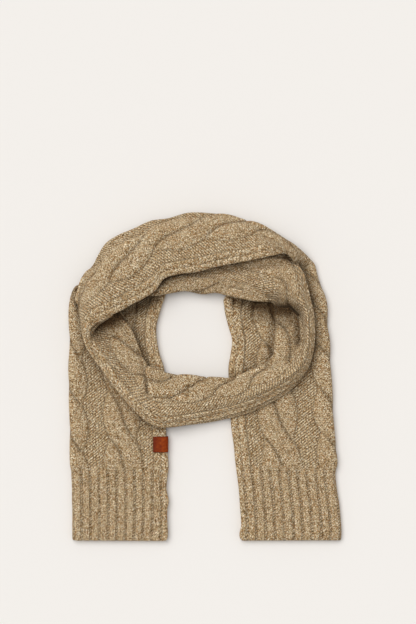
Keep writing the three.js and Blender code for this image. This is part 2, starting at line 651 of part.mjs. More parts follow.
const evenShares = Array.from({ length: BAND_COLUMNS }, (_, i) => i / (BAND_COLUMNS - 1));
const bandStep = () => RING_STEP;
const leftStep = (walked) => (walked < 8 ? 4 : walked < RIB_LENGTH - 8 ? RIB_RING_STEP : RING_STEP);
const rightStep = (walked, length) => {
  const left = length - walked;
  return left < 12 ? 4 : left < RIB_LENGTH ? RIB_RING_STEP : RING_STEP;
};

// Rings of one stretch, from where it starts along the whole scarf.
function stretch({ rows, shares, stepAt, uStart, twists, ...spec }) {
  const samples = walk(rows);
  const side = twist(samples, twists.side);
  const middle = twist(samples, twists.middle);
  return stations(rows, stepAt).places.map(({ position, walked }) => {
    const turns = { side: side(walked), middle: middle(walked) };
    return ringOf(rowAt(rows, position), shares, uStart + walked, turns, spec);
  });
}

// Draws a stretch's last ring back by the gap, so that it clears the stretch that goes on from it.
function drawnBack(rings) {
  const [a, b] = rings.slice(-2);
  const step = Math.hypot(b.row.foldX - a.row.foldX, b.row.foldY - a.row.foldY) || 1;
  for (const name of ["selX", "selY", "foldX", "foldY"]) {
    b.row[name] = mix(b.row[name], a.row[name], (2 * GAP) / step);
  }
}

function woolMesh(name, geometry, tint) {
  const material = new THREE.MeshStandardMaterial({ color: tint, roughness: 0.95, metalness: 0 });
  const mesh = new THREE.Mesh(geometry, material);
  mesh.name = name;
  return mesh;
}

// The tab follows the selvedge side of the left end: over its upper layer, round it and into the groove.
function leatherTab(rings) {
  const near = ({ row }) => row.selY > TAB.from - RING_STEP && row.selY < TAB.to + RING_STEP;
  const beside = rings.filter(near);
  const edgeX = Math.max(...beside.map((ring) => ring.row.selX)) + GAP;
  const backs = beside.flatMap((ring) => ring.top.filter((p) => p.a < TAB.reach + EDGE_ROUND));
  const crown = Math.max(...backs.map((p) => p.z)) + GAP;
  const middle = 0.5 * FOLDED + GAP;
  const inner = [
    [edgeX - TAB.reach, crown],
    [edgeX - 2.5, crown],
    [edgeX - 0.2, crown - 1.6],
    [edgeX + 0.4, crown - 4],
    [edgeX - 0.2, middle + 1.2],
    [edgeX - TAB.tuck, middle + 0.2],
  ];
  const outer = [
    [edgeX - TAB.reach, crown + TAB.thickness],
    [edgeX - 1.6, crown + TAB.thickness],
    [edgeX + 1.3, crown - 0.7],
    [edgeX + 1.9, crown - 4],
    [edgeX + 1.1, middle - 0.1],
    [edgeX - TAB.tuck, middle - 0.8],
  ];
  const outline = [...outer, ...inner.reverse()];
  const shape = new THREE.Shape(outline.map(([x, z]) => new THREE.Vector2(x, z)));
  const geometry = new THREE.ExtrudeGeometry(shape, { depth: TAB.to - TAB.from, bevelEnabled: false });
  geometry.rotateX(Math.PI / 2);
  geometry.translate(0, TAB.to, 0);
  const material = new THREE.MeshStandardMaterial({ color: 0x96401f, roughness: 0.5, metalness: 0 });
  const mesh = new THREE.Mesh(geometry, material);
  mesh.name = "leather_tab";
  return mesh;
}

const leftRows = LEFT_TAIL.map(tailRow);
const rightRows = RIGHT_TAIL.map(tailRow);
const order = [leftRows, BACK_BAND, FRONT_SWATH, TOP_SWATH, rightRows];
const lengths = order.map((rows) => stations(rows, bandStep).length);
const scarfLength = lengths.reduce((sum, length) => sum + length);
const startOf = (rows) => lengths.slice(0, order.indexOf(rows)).reduce((sum, length) => sum + length, 0);

const tailSpec = { shares: tailShares(), onTable: true, creases: [], leanSign: 1, bottomColumns: 2 };
const bandSpec = { shares: evenShares, stepAt: bandStep, bottomColumns: BOTTOM_COLUMNS };

const leftLook = { twists: LEFT_TWISTS, plain: LEFT_PLAIN };
const rightLook = { twists: RIGHT_TWISTS, plain: DIVE_PLAIN };
const rightStart = startOf(rightRows);
const leftTail = stretch({ ...tailSpec, ...leftLook, rows: leftRows, stepAt: leftStep, uStart: 0 });
const rightTail = stretch({
  ...tailSpec,
  ...rightLook,
  rows: rightRows,
  stepAt: rightStep,
  uStart: rightStart,
});
const leftTailShape = loft(leftTail, true, false);
const rightTailShape = loft(rightTail, false, true);

const tails = new Support();
tails.stamp(leftTailShape);
tails.stamp(rightTailShape);
const overTails = tails.widened(SUPPORT_REACH);

// These two show the other half of the cloth, on which the cables lean the other way.
const turned = { ...bandSpec, leanSign: -1, support: overTails };
const back = { ...turned, rows: BACK_BAND, creases: BACK_CREASES, uStart: startOf(BACK_BAND) };
const front = { ...turned, rows: FRONT_SWATH, creases: FRONT_CREASES, uStart: startOf(FRONT_SWATH) };
const backBand = stretch({ ...back, twists: BACK_TWISTS, plain: BACK_PLAIN });
drawnBack(backBand);
const backBandShape = loft(backBand, false, false);
const frontSwath = stretch({ ...front, twists: FRONT_TWISTS, plain: FRONT_PLAIN });
const frontSwathShape = loft(frontSwath, false, false);

const below = new Support();
for (const shape of [leftTailShape, rightTailShape, backBandShape, frontSwathShape]) below.stamp(shape);
const overAll = below.widened(SUPPORT_REACH);
const top = { ...bandSpec, leanSign: 1, support: overAll, rows: TOP_SWATH, creases: TOP_CREASES };
const topLook = { twists: TOP_TWISTS, plain: DIVE_PLAIN };
const topSwathShape = loft(stretch({ ...top, ...topLook, uStart: startOf(TOP_SWATH) }), false, false);

const scarf = new THREE.Group();
scarf.add(
  woolMesh("left_tail", leftTailShape, 0xa08c6c),
  woolMesh("right_tail", rightTailShape, 0xa08c6c),
  woolMesh("back_band", backBandShape, 0x9a8666),
  woolMesh("front_swath", frontSwathShape, 0xa6926f),
  woolMesh("top_swath", topSwathShape, 0xa6926f),
  leatherTab(leftTail),
);

// The origin is the middle of the footprint.
const extent = new THREE.Box3().setFromObject(scarf);
scarf.position.set(-(extent.min.x + extent.max.x) / 2, -(extent.min.y + extent.max.y) / 2, -extent.min.z);

export default scarf;
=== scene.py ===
"""A cable-knit wool scarf, doubled lengthwise and wound into a loop, lying on a pale surface.

Plan sizes and heights in the tables are in millimetres; the meshes made from them are in metres. The
folded cloth is lofted through upright sections from the selvedges to the fold, draped over what lies
below, and then raised into ribs, cables and stitches.
"""

import math

import bpy
import numpy as np
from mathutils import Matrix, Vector


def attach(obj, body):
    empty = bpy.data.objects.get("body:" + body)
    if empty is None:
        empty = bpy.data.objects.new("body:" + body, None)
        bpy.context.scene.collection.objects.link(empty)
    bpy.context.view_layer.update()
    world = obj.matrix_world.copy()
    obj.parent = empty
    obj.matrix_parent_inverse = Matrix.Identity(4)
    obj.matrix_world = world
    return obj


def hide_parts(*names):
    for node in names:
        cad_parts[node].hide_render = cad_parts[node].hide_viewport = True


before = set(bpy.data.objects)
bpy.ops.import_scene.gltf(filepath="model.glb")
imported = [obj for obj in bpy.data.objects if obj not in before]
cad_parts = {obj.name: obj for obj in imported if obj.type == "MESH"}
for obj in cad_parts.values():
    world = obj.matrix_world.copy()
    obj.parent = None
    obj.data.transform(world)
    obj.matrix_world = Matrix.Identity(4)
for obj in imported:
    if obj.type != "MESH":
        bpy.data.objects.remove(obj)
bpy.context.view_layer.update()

MM = 0.001
ROOT = "root"

# The cloth, doubled lengthwise.
HALF_WIDTH = 150
FOLDED = 10  # how thick the two layers are together
LAYER_GAP = 0.7
DRAPE_GAP = 0.5  # between a stretch and what it lies on
FOLD_ROUND = 0.45  # radius at the fold, as a share of the thickness
FOLD_ROUND_MOST = 0.4  # and at most this share of the section's length
LAYER_ROUND = 0.235  # radius at a selvedge, as a share of the thickness
EDGE_TURN = math.radians(-75)
LIP_STEPS = 6
SLIT_END = 1.6  # how far the slit ends from the fold, in radii of the fold
SLIT_NARROWING = 0.6
STEEPEST = 1.7
EDGE_WAVE_REACH = 16

# Ribs: at the hems, and two along each selvedge.
RIB_LENGTH = 101
RIB_BLEND = 16
RIB_PITCH = 13.6
FIRST_RIB_GROOVE = 9.75
RIB_HEIGHT = 2.2
RIB_VALLEY = 1.6
RIB_STITCHES = 3
RIB_FIRST_COLUMN = 2.5
RIB_PURL_BELOW = 0.4
MIDDLE_LINE = 0.5
MIDDLE_LINE_WIDTH = 1.1
ARCH_POWER = 2.4
ARCH_ROUND = 0.6
HEM_ROUND = 3.5
HEM_DROP = 0.35
EDGE_RIB_COUNT = 2
EDGE_RIB_PITCH = 10.5
EDGE_RIB_HEIGHT = 1.8

# Cables: ropes of two strands. Sway and half are shares of the cable's half width, lift of its height.
SIDE_CABLE = (40, 96)
MIDDLE_CABLE = (121, 179)
CABLE_START = 24  # above the ribs the stitches lean more and more over this length
CABLE_HEIGHT = 5.2
CABLE_REPEAT = 72
STRAND_SWAY = 0.34
STRAND_HALF = 0.7
STRAND_LIFT = 0.26
STRAND_ROUND = 0.62
SEAM_DEPTH = 1.5
SEAM_WIDTH = 1.1
MARK_REACH = 0.75  # a mark counts within this share of the width from the middle
TOO_FAR = 1000

# Stitches: width and height.
STITCH_WIDTH = 4.53
STITCH_HEIGHT = 3.4
EDGE_STITCH = (5.25, 4.4)

# The share of the relief left at the edges, and over how many twelfths of the width it fades at the fold.
SELVEDGE_RELIEF = 0.35
FOLD_RELIEF = 0.15
FOLD_FADE = 1.5

# Painted shade in the hollows, between the strands and in what lies deeper than the cloth around it.
HOLLOW_REACH = 14
HOLLOW_DEPTH = 1.9
SEAM_SHADE = 0.6
SINK_BLUR = 60
SINK_DEPTH = 15
SINK_SHARE = 0.72
DARKEST = 1.45

# How finely the cloth is cut.
RING_STEP = 0.95
TOP_COLUMNS = 170
UNDER_COLUMNS = 14
SLIT_COLUMNS = 10
EDGE_STEPS = 10
DENSE = 220
WALK_STEPS = 4000
CALM = 34
NORMAL_BLUR = 4
GROUND_BLUR = 3

# The grid that holds the height of what lies below.
CELL = 2
REACH = 7
GRID_HALF = 280
BARE = 0.2  # below this height there is nothing to drape over
DRAPE_SOFTNESS = 4


def columns(header, rows):
    """A table's columns as arrays, by the names in its header."""
    return {name: np.array([row[i] for row in rows], float) for i, name in enumerate(header.split())}


# Sections of the ends, from the hem or the corner. z is the height of the plain ground.
TAIL_HEADER = "selX selY foldX foldY z vSel"
LEFT_TAIL = columns(TAIL_HEADER, [
    (-62, -247, -200, -246, 9.4, 0),
    (-56, -240, -201.5, -240, 10.6, 0),
    (-57, -204, -201.5, -204, 10.6, 0),
    (-54.5, -186, -202, -186, 10.6, 0),
    (-58, -168, -202, -168, 10.6, 0),
    (-56, -147, -203, -147, 10.6, 0),
    (-54.5, -132, -203.5, -132, 10.6, 0),
    (-57.5, -96, -204, -96, 10.6, 0),
    (-59, -51, -204.5, -51, 10.6, 0),
    (-60.5, 6, -206, 6, 10.6, 0),
    (-69.5, 39, -204, 39, 10.6, 0),
    (-73, 72, -205, 72, 10.6, 0),
    (-66.5, 99, -205, 99, 10.6, 0),
    (-60, 118, -203, 118, 11, 0),
    (-56, 131, -199, 131, 10, 0),
    (-53, 140, -191, 136, 7, 0),
])
RIGHT_TAIL = columns(TAIL_HEADER, [
    (124, 154, 168.5, 158, 11, 105),
    (108, 150, 172.5, 147, 11, 85),
    (72, 136, 177.5, 132, 11, 48),
    (30, 120, 182, 117, 11, 5),
    (27, 102, 184.5, 102, 10.8, 0),
    (32.5, 76.5, 185.5, 76.5, 10.6, 0),
    (38.5, 54, 188, 54, 10.6, 0),
    (36, 31.5, 189, 31.5, 10.6, 0),
    (33, 9, 190, 9, 10.6, 0),
    (35.5, -36, 193, -36, 10.6, 0),
    (37, -73.5, 194.5, -73.5, 10.6, 0),
    (41, -103.5, 197.5, -103.5, 10.6, 0),
    (43, -126, 200, -126, 10.6, 0),
    (46, -147, 198, -147, 10.6, 0),
    (49, -171, 200.5, -171, 10.6, 0),
    (50.5, -193.5, 204, -193.5, 10.6, 0),
    (52.5, -222, 206.5, -222, 10.6, 0),
    (50, -234, 207, -234, 10.6, 0),
    (50.5, -242, 206.5, -241.5, 10.6, 0),
    (54, -246.5, 206, -246, 9.4, 0),
])

# Sections of the loop: z rises from selZ through z1 and z2, at shares c1 and c2 of the way, to foldZ. The
# knit counts from vSel to vFold, lip draws the lower layer out, and over is 1 where other cloth lies below.
BAND_HEADER = "selX selY foldX foldY selZ c1 z1 c2 z2 foldZ vSel vFold lip over"
BACK_BAND = columns(BAND_HEADER, [
    (-116, 193.5, -113, 114, 20, 0.3, 22, 0.7, 22, 18, 60, 150, 0, 1),
    (-83, 199.5, -80, 117, 20, 0.3, 23, 0.7, 23, 17, 60, 150, 0, 1),
    (-41, 204, -38, 123, 20, 0.3, 24, 0.7, 25, 16, 60, 150, 0, 1),
    (-3.5, 207, -6.5, 119.5, 20, 0.3, 24, 0.72, 27, 16, 60, 150, 0, 1),
    (34, 207, 13, 122, 20, 0.3, 24, 0.7, 31, 17, 60, 150, 0, 1),
    (76, 199.5, 32.5, 115.5, 21, 0.35, 24, 0.62, 36, 19, 55, 150, 0, 1),
    (117, 186, 64, 109.5, 23, 0.35, 30, 0.64, 41, 21, 45, 145, 0, 1),
    (138, 170, 94, 105, 25, 0.35, 34, 0.66, 44, 22, 30, 125, 0, 1),
    (148.5, 148, 99, 94.5, 25, 0.3, 44, 0.64, 41, 19, 14, 105, 0, 1),
    (155.5, 124.5, 99, 84, 21, 0.26, 46, 0.47, 35, 19, 2, 97, 0, 1),
    (161.5, 100.5, 98.5, 72, 21, 0.19, 46, 0.4, 26, 19, 0, 95, 0, 1),
    (164, 72, 98.5, 57, 21, 0.18, 46, 0.37, 25, 19, 0, 93, 0, 1),
    (163, 46.5, 98.5, 43.5, 21, 0.19, 45, 0.4, 25, 19, 0, 91, 0, 1),
    (159, 25.5, 98, 33, 21, 0.22, 45, 0.55, 28, 20, 0, 86, 1, 1),
])
FRONT_SWATH = columns(BAND_HEADER, [
    (150, 7.5, 94, 24, 21, 0.26, 45, 0.6, 31, 20, 0, 82, 3, 1),
    (136, -8, 85, 16.5, 21, 0.32, 44, 0.65, 33, 20, 0, 80, 5, 1),
    (116.5, -22.5, 70, 9, 21, 0.36, 43, 0.7, 34, 20, 0, 79, 6, 1),
    (94, -36, 53.5, 1.5, 20, 0.4, 41, 0.75, 34, 19, 0, 78, 6, 1),
    (67, -49, 35.5, -3, 19, 0.42, 39, 0.77, 33, 19, 0, 78, 6, 1),
    (37, -58.5, 17.5, -4, 18, 0.42, 37, 0.78, 32, 18, 0, 79, 5, 1),
    (7, -66, -2, -0.5, 18, 0.4, 36, 0.78, 31, 18, 0, 83, 4, 1),
    (-23, -72, -21.5, 2, 20, 0.35, 36, 0.75, 31, 18, 0, 88, 2, 1),
    (-48.5, -76.5, -41, 5, 22, 0.28, 36, 0.72, 31, 18, 0, 93, 0, 1),
    (-71, -76, -59, 9, 24, 0.22, 37, 0.7, 32, 19, 0, 95, 0, 1),
    (-90.5, -66, -75.5, 14, 26, 0.2, 38, 0.68, 32, 20, 0, 91, 0, 1),
    (-108.5, -49, -86, 15, 28, 0.19, 40, 0.65, 32, 21, 0, 82, 0, 1),
    (-126.5, -28.5, -91, 21, 29, 0.18, 41, 0.62, 30, 21, 0, 78, 0, 1),
    (-144.5, -4.5, -96.5, 36, 30, 0.17, 42, 0.6, 28, 20, 0, 79, 0, 1),
    (-161, 19.5, -104, 54, 30, 0.16, 42, 0.6, 26, 20, 0, 82, 0, 1),
    (-173, 36, -111.5, 73.5, 29, 0.15, 40, 0.55, 24, 20, 0, 85, 0, 1),
    (-180, 48, -120.5, 91.5, 27, 0.15, 36, 0.42, 23, 20, 0, 85, 0, 1),
    (-181.5, 58, -128, 102, 23, 0.16, 29, 0.42, 22, 20, 0, 80, 0, 1),
])
TOP_SWATH = columns(BAND_HEADER, [
    (-182, 57, -192, 118, 29, 0.2, 33, 0.6, 28, 20, 0, 78, 0, 1),
    (-179, 68, -188, 138, 38, 0.22, 42, 0.65, 33, 15, 0, 86, 0, 1),
    (-166, 79, -178.5, 157, 42, 0.25, 46, 0.7, 38, 11, 0, 95, 0, 1),
    (-150.5, 87, -168.5, 169.5, 43, 0.25, 48, 0.7, 38, 10, 0, 103, 0, 1),
    (-129.5, 95, -159.5, 187.5, 42, 0.25, 48, 0.7, 38, 10, 0, 112, 0, 1),
    (-110, 106, -149, 202.5, 42, 0.28, 48, 0.7, 38, 10, 0, 118, 0, 1),
    (-90.5, 116, -131, 214, 42, 0.28, 48, 0.7, 37, 10, 0, 119, 0, 1),
    (-74, 127.5, -108.5, 223.5, 42, 0.28, 47, 0.7, 37, 10, 0, 115, 0, 1),
    (-60.5, 145, -83, 235, 42, 0.28, 47, 0.7, 37, 10, 0, 108, 0, 1),
    (-38, 151.5, -56, 239, 41, 0.28, 46, 0.7, 36, 10, 0, 105, 0, 1),
    (-11, 155, -27.5, 247, 41, 0.28, 46, 0.7, 36, 10, 0, 106, 0, 1),
    (14.5, 162, 1, 247, 40, 0.28, 46, 0.7, 35, 10, 0, 101, 0, 1),
    (40, 167, 31, 243, 40, 0.3, 45, 0.7, 35, 10, 0, 93, 0, 1),
    (67, 172, 60, 233.5, 39, 0.3, 44, 0.7, 34, 10, 0, 82, 0, 1),
    (94, 178.5, 86.5, 222.5, 39, 0.35, 43, 0.7, 33, 10, 0, 70, 0, 1),
    (115, 182, 112, 209.5, 38, 0.35, 41, 0.7, 31, 10, 20, 72, 0, 1),
    (126, 177.5, 136, 197, 35, 0.35, 37, 0.7, 28, 10, 50, 88, 0, 1),
    (132, 170.5, 151, 184.8, 27, 0.35, 28, 0.7, 22, 10, 80, 110, 0, 0.5),
    (133, 161, 163, 171, 11, 0.4, 15, 0.7, 14, 10, 105, 131, 0, 0),
])

# Creases pressed into the loop, in plan from one point to another.
CREASE_HEADER = "x1 y1 x2 y2 depth width"
BAND_CREASES = columns(CREASE_HEADER, [
    (-120, 62, -102, 39, 4, 3.5),  # the edge of the face beside the left corner
    (-102, 39, -90, 2, 7, 3.5),
    (-90, 2, -87, -24, 8, 4),
    (-83, -31, -53, -31, 4, 3.5),  # under the inner fold of the front
    (-53, -31, -23, -22, 4, 3),
    (-23, -22, -8, -6, 3, 3),
    (-146, 21, -128, 6, 2, 3),  # beside the rim of the left corner
    (-128, 6, -108, -24, 2, 3),
    (22, 163, 70, 146, 3, 4),  # above the roll over the right end
    (70, 146, 112, 138, 3, 4),
    (37, 133.5, 56, 129, 2.5, 2),  # a nick in the roll
    (104, 103, 125, 104, 8, 3),  # under the roll, where it passes over the inner face
    (125, 104, 138, 92, 9, 3),
    (138, 92, 141, 55, 4, 3),
    (96, 28, 99, 14, 5, 4),
])
TOP_CREASES = columns(CREASE_HEADER, [
    (25, 171, 40, 183, 1.6, 2.5),  # small pleats beside the rim
    (97, 181, 112, 195, 1.6, 2.5),
])

# The rim rolls over at the left corner, from the front's edge round to the top's. Grids: rings and columns.
CORNER_RIM = columns("x y z", [
    (-150, 13, 27),
    (-160, 27, 33),
    (-171.5, 45, 36),
    (-176.5, 60, 36.5),
    (-175, 73, 37),
    (-165.5, 83, 38),
    (-151, 90, 37),
    (-138, 95.5, 30),
])
RIM_RADII = (6.4, 7)
RIM_GRID = (240, 56)

# Under the rim the fold closes the corner on its outer side.
CORNER_WALL = columns("x y z", [
    (-140, 12, 24),
    (-153, 24, 24.5),
    (-165, 40, 25),
    (-172, 54, 25.5),
    (-172.5, 66, 26),
    (-166, 77, 26.5),
    (-155, 86, 27),
    (-142, 93, 27),
])
WALL_RADII = (6.5, 8.5)
WALL_GRID = (90, 28)
# Painted shade over the whole wall under the rim.
WALL_PAINTED_SHADE = 0.5
ROLL_END = 8  # both rolls round off over this length
ROLL_RIBS = 4
ROLL_RIB_SHARE = 0.7
ROLL_STITCHES = 8

# Lines along which the cloth is pulled smooth: depth is the share of the relief that goes.
BAND_PLAIN = columns(CREASE_HEADER, [
    (40, 136, 112, 132, 0.8, 20),  # the roll
    (112, 132, 146, 112, 0.9, 18),
    (-168, 74, -140, 74, 0.9, 18),  # the inside of the left corner
])
OVER_PLAIN = columns(CREASE_HEADER, [
    (120, 190, 150, 176, 1, 18),  # where the loop narrows and dives
    (150, 176, 172, 140, 0.9, 15),
    (-178, 70, -182, 130, 0.9, 12),  # beside the left corner
])

# Painted shade along lines that little light reaches: depth is the share of light that is kept out.
LEFT_SHADES = columns(CREASE_HEADER, [
    (-120, 92, -76, 116, 1.15, 10),  # under the top's rim
    (-110, 82, -94, 22, 0.45, 8),  # beside the front's inner fold
    (-66, 116, -60, 124, 0.5, 6),
    (-192, 131, -188, 100, 1.3, 4.5),  # between the left end's fold and the loop
])
BAND_SHADES = columns(CREASE_HEADER, [
    (-166, 73, -134, 87, 1.45, 18),  # the pocket behind the left corner's rim
    (-142, 86, -112, 98, 0.8, 9),
    (102, 101, 125, 97, 1.45, 15),  # under the roll
    (102, 88, 132, 84, 0.8, 13),
    (119, 178, 134, 171, 1.2, 6),  # under the rim, where the loop dives
    (124, 96, 135, 88, 1.2, 8),
    (135, 90, 137, 50, 1.05, 6),
    (-84, 118, -58, 144, 0.6, 6),  # under the top's rim
    (-58, 144, 28, 158, 0.6, 6),
    (28, 158, 112, 168, 0.6, 6),
])
OVER_SHADES = columns(CREASE_HEADER, [
    (44, 112, 98, 107, 1.1, 11),  # the right end under the roll
    (72, 107, 100, 102, 1.4, 16),
    (72, 95, 100, 90, 0.85, 13),
    (98, 100, 97, 24, 0.6, 6),
    (140, 164, 160, 116, 0.85, 9),  # the right end beside the turn
    (158, 112, 168, 60, 0.4, 6),
])

# A line far off the cloth, for stretches that need none.
NO_CREASES = columns(CREASE_HEADER, [(0, -900, 1, -900, 0, 1)])

# Where a cable's strands lie side by side, in plan, counted along each stretch.
TWIST_HEADER = "x y number"
LEFT_SIDE = columns(TWIST_HEADER, [(-125, -129, 0), (-125, -57, 1)])
LEFT_MIDDLE = columns(TWIST_HEADER, [(-205, -77, 0), (-205, -9, 1)])
BAND_SIDE = columns(TWIST_HEADER, [
    (94, -1.5, 0),
    (34, -12, 1),
    (-18.5, -15, 2),
    (-81.5, -10.5, 3),
])
BAND_MIDDLE = columns(TWIST_HEADER, [(-33.5, 124.5, 0), (67, 109.5, 1)])
OVER_SIDE = columns(TWIST_HEADER, [
    (-117.5, 171, 0),
    (-38, 210, 1),
    (35.5, 222, 2),
    (109, -54, 7),
    (112, -135, 8),
])
OVER_MIDDLE = columns(TWIST_HEADER, [
    (180, 130, 0),
    (190, 71.5, 1),
    (190, 20.5, 2),
    (193, -54.5, 3),
    (198, -114.5, 4),
])


def mix(a, b, t):
    return a + (b - a) * t


def ease(t):
    t = np.clip(t, 0, 1)
    return t * t * (3 - 2 * t)


def fraction(t):
    return t - np.floor(t)


def rounded(d, radius, depth=1):
    """The rise of a rounded edge, which reaches 1 a radius away from it."""
    return np.sqrt(1 - depth * np.clip(1 - d / radius, 0, 1) ** 2)


def run_of(rows):
    """Each section's run from selvedge to fold, and its length."""
    dx, dy = rows["foldX"] - rows["selX"], rows["foldY"] - rows["selY"]
    return dx, dy, np.hypot(dx, dy)


def middle_of(rows):
    return (rows["selX"] + rows["foldX"]) / 2, (rows["selY"] + rows["foldY"]) / 2


def drawn_in(table, at_selvedge, at_fold):
    """A table whose sections end a little further in, which leaves room for the relief."""
    dx, dy, length = run_of(table)
    moved = dict(table)
    for end, distance in (("sel", at_selvedge), ("fold", -at_fold)):
        moved[end + "X"] = table[end + "X"] + dx / length * distance
        moved[end + "Y"] = table[end + "Y"] + dy / length * distance
    return moved


def joined(*tables):
    """Tables one after another."""
    return {name: np.concatenate([t[name] for t in tables]) for name in tables[0]}


def tail_as_band(tail):
    """A tail's table with all of a band's columns. Its tail column is 1: the underside is on the table."""
    z = tail["z"]
    one = np.ones_like(z)
    heights = {"selZ": z, "c1": 0.3 * one, "z1": z, "c2": 0.7 * one, "z2": z, "foldZ": z}
    rest = {"vFold": HALF_WIDTH * one, "lip": 0 * one, "over": 0 * one, "tail": one}
    places = {name: tail[name] for name in ("selX", "selY", "foldX", "foldY", "vSel")}
    return places | heights | rest


def as_band(band):
    return band | {"tail": np.zeros_like(band["selX"])}


def rows_at(table, position):
    """The rows at positions between the rows, by a smooth curve through each column."""
    last = len(next(iter(table.values()))) - 1
    i = np.clip(np.floor(position).astype(int), 0, last - 1)
    t = position - i
    made = {}
    for name, values in table.items():
        a, b = values[np.maximum(i - 1, 0)], values[i]
        c, d = values[i + 1], values[np.minimum(i + 2, last)]
        made[name] = b + 0.5 * t * (c - a + t * (2 * a - 5 * b + 4 * c - d + t * (3 * b - a - 3 * c + d)))
    for name in {"over", "tail"} & set(made):
        made[name] = np.clip(made[name], 0, 1)
    return made


def curve(path, count):
    """Points along a smooth curve through a table's places, and the length walked to each."""
    made = rows_at(path, np.linspace(0, len(path["x"]) - 1, count))
    line = np.stack([made["x"], made["y"], made["z"]], axis=-1)
    steps = np.linalg.norm(np.diff(line, axis=0), axis=1)
    return line, np.concatenate([[0], np.cumsum(steps)])


def stations(table, step):
    """Positions evenly spaced along the middle of a stretch, and the length walked to each."""
    fine = np.linspace(0, len(table["selX"]) - 1, WALK_STEPS)
    x, y = middle_of(rows_at(table, fine))
    walked = np.concatenate([[0], np.cumsum(np.hypot(np.diff(x), np.diff(y)))])
    even = np.linspace(0, walked[-1], int(walked[-1] / step) + 1)
    return np.interp(even, walked, fine), even


def monotone(rows, t):
    """Heights at shares t of each section, through its four points without overshooting."""
    zero = np.zeros_like(rows["c1"])
    xs = np.stack([zero, rows["c1"], rows["c2"], zero + 1], axis=1)
    ys = np.stack([rows["selZ"], rows["z1"], rows["z2"], rows["foldZ"]], axis=1)
    slope = np.diff(ys, axis=1) / np.diff(xs, axis=1)
    a, b = slope[:, :-1], slope[:, 1:]
    inner = np.where(a * b > 0, 2 * a * b / np.where(a + b == 0, 1, a + b), 0)
    tangent = np.concatenate([slope[:, :1], inner, slope[:, -1:]], axis=1)
    z = np.empty((len(zero), len(t)))
    for k in range(3):
        (x0, x1), (y0, y1), (t0, t1) = ((c[:, k, None], c[:, k + 1, None]) for c in (xs, ys, tangent))
        here = (t >= x0 - 1e-9) & (t <= x1 + 1e-9)
        w = (t - x0) / (x1 - x0)
        ends = (1 + 2 * w) * (1 - w) ** 2 * y0 + w**2 * (3 - 2 * w) * y1
        bend = w * (1 - w) ** 2 * t0 + w**2 * (w - 1) * t1
        z = np.where(here, ends + bend * (x1 - x0), z)
    return z


def smoothed(values, times):
    """Neighbours averaged along and across a grid."""
    for _ in range(times):
        for axis in (0, 1):
            padding = [(1, 1) if k == axis else (0, 0) for k in range(values.ndim)]
            wide = np.pad(values, padding, mode="edge")
            low = np.take(wide, range(values.shape[axis]), axis)
            high = np.take(wide, range(2, values.shape[axis] + 2), axis)
            values = (low + 2 * values + high) / 4
    return values


class Ground:
    """The height of what lies below, on a square grid over the table."""

    def __init__(self, cells=None):
        self.count = int(2 * GRID_HALF / CELL)
        self.cells = np.zeros((self.count, self.count)) if cells is None else cells

    def stamp(self, points):
        """Raises the cells that fine surface points fall in."""
        cell = ((points[..., :2] + GRID_HALF) / CELL).astype(int)
        i, j = np.clip(cell, 0, self.count - 1).reshape(-1, 2).T
        np.maximum.at(self.cells, (i, j), points[..., 2].ravel())

    def widened(self):
        """A smooth copy in which each cell has the greatest height within the reach."""
        n = int(REACH / CELL)
        wide = self.cells.copy()
        for di in range(-n, n + 1):
            for dj in range(-n, n + 1):
                if math.hypot(di, dj) <= n:
                    wide = np.maximum(wide, np.roll(self.cells, (di, dj), (0, 1)))
        return Ground(smoothed(wide, GROUND_BLUR))

    def blurred(self, times):
        """A copy in which each cell has the mean height of those around it."""
        return Ground(smoothed(self.cells, times))

    def at(self, x, y):
        fx, fy = (x + GRID_HALF) / CELL - 0.5, (y + GRID_HALF) / CELL - 0.5
        i = np.clip(np.floor(fx).astype(int), 0, self.count - 2)
        j = np.clip(np.floor(fy).astype(int), 0, self.count - 2)
        near = mix(self.cells[i, j], self.cells[i, j + 1], fy - j)
        far = mix(self.cells[i + 1, j], self.cells[i + 1, j + 1], fy - j)
        return mix(near, far, fx - i)


def crease_depth(creases, x, y):
    """How deep each point lies in the table's lines, each of which fades away to both sides."""
    depth = np.zeros_like(x)
    for x1, y1, x2, y2, deep, width in zip(*(creases[name] for name in CREASE_HEADER.split())):
        dx, dy = x2 - x1, y2 - y1
        t = np.clip(((x - x1) * dx + (y - y1) * dy) / (dx * dx + dy * dy), 0, 1)
        away = np.hypot(x - x1 - t * dx, y - y1 - t * dy)
        depth = np.maximum(depth, deep * np.exp(-((away / width) ** 2)))
    return depth


def arch(d, width):
    """The rounded back of a rib: 0 at its groove, 1 a width away from it."""
    rise = np.clip(d / width, 0, 1)
    return (1 - (1 - rise) ** ARCH_POWER) ** ARCH_ROUND


def twist(rows, walked, marks):
    """Half turns of a cable at each station, through the marks and at the usual pitch beyond them."""
    middle_x, middle_y = middle_of(rows)
    dx, dy, reach = run_of(rows)
    found = []
    for x, y in zip(marks["x"], marks["y"]):
        off_line = np.abs((x - middle_x) * dy - (y - middle_y) * dx) / reach
        too_far = np.hypot(x - middle_x, y - middle_y) > MARK_REACH * reach
        found.append(walked[np.argmin(off_line + TOO_FAR * too_far)])
    number = np.interp(walked, found, marks["number"])
    before = np.minimum(walked - found[0], 0) / CABLE_REPEAT
    after = np.maximum(walked - found[-1], 0) / CABLE_REPEAT
    return (number + before + after)[:, None]


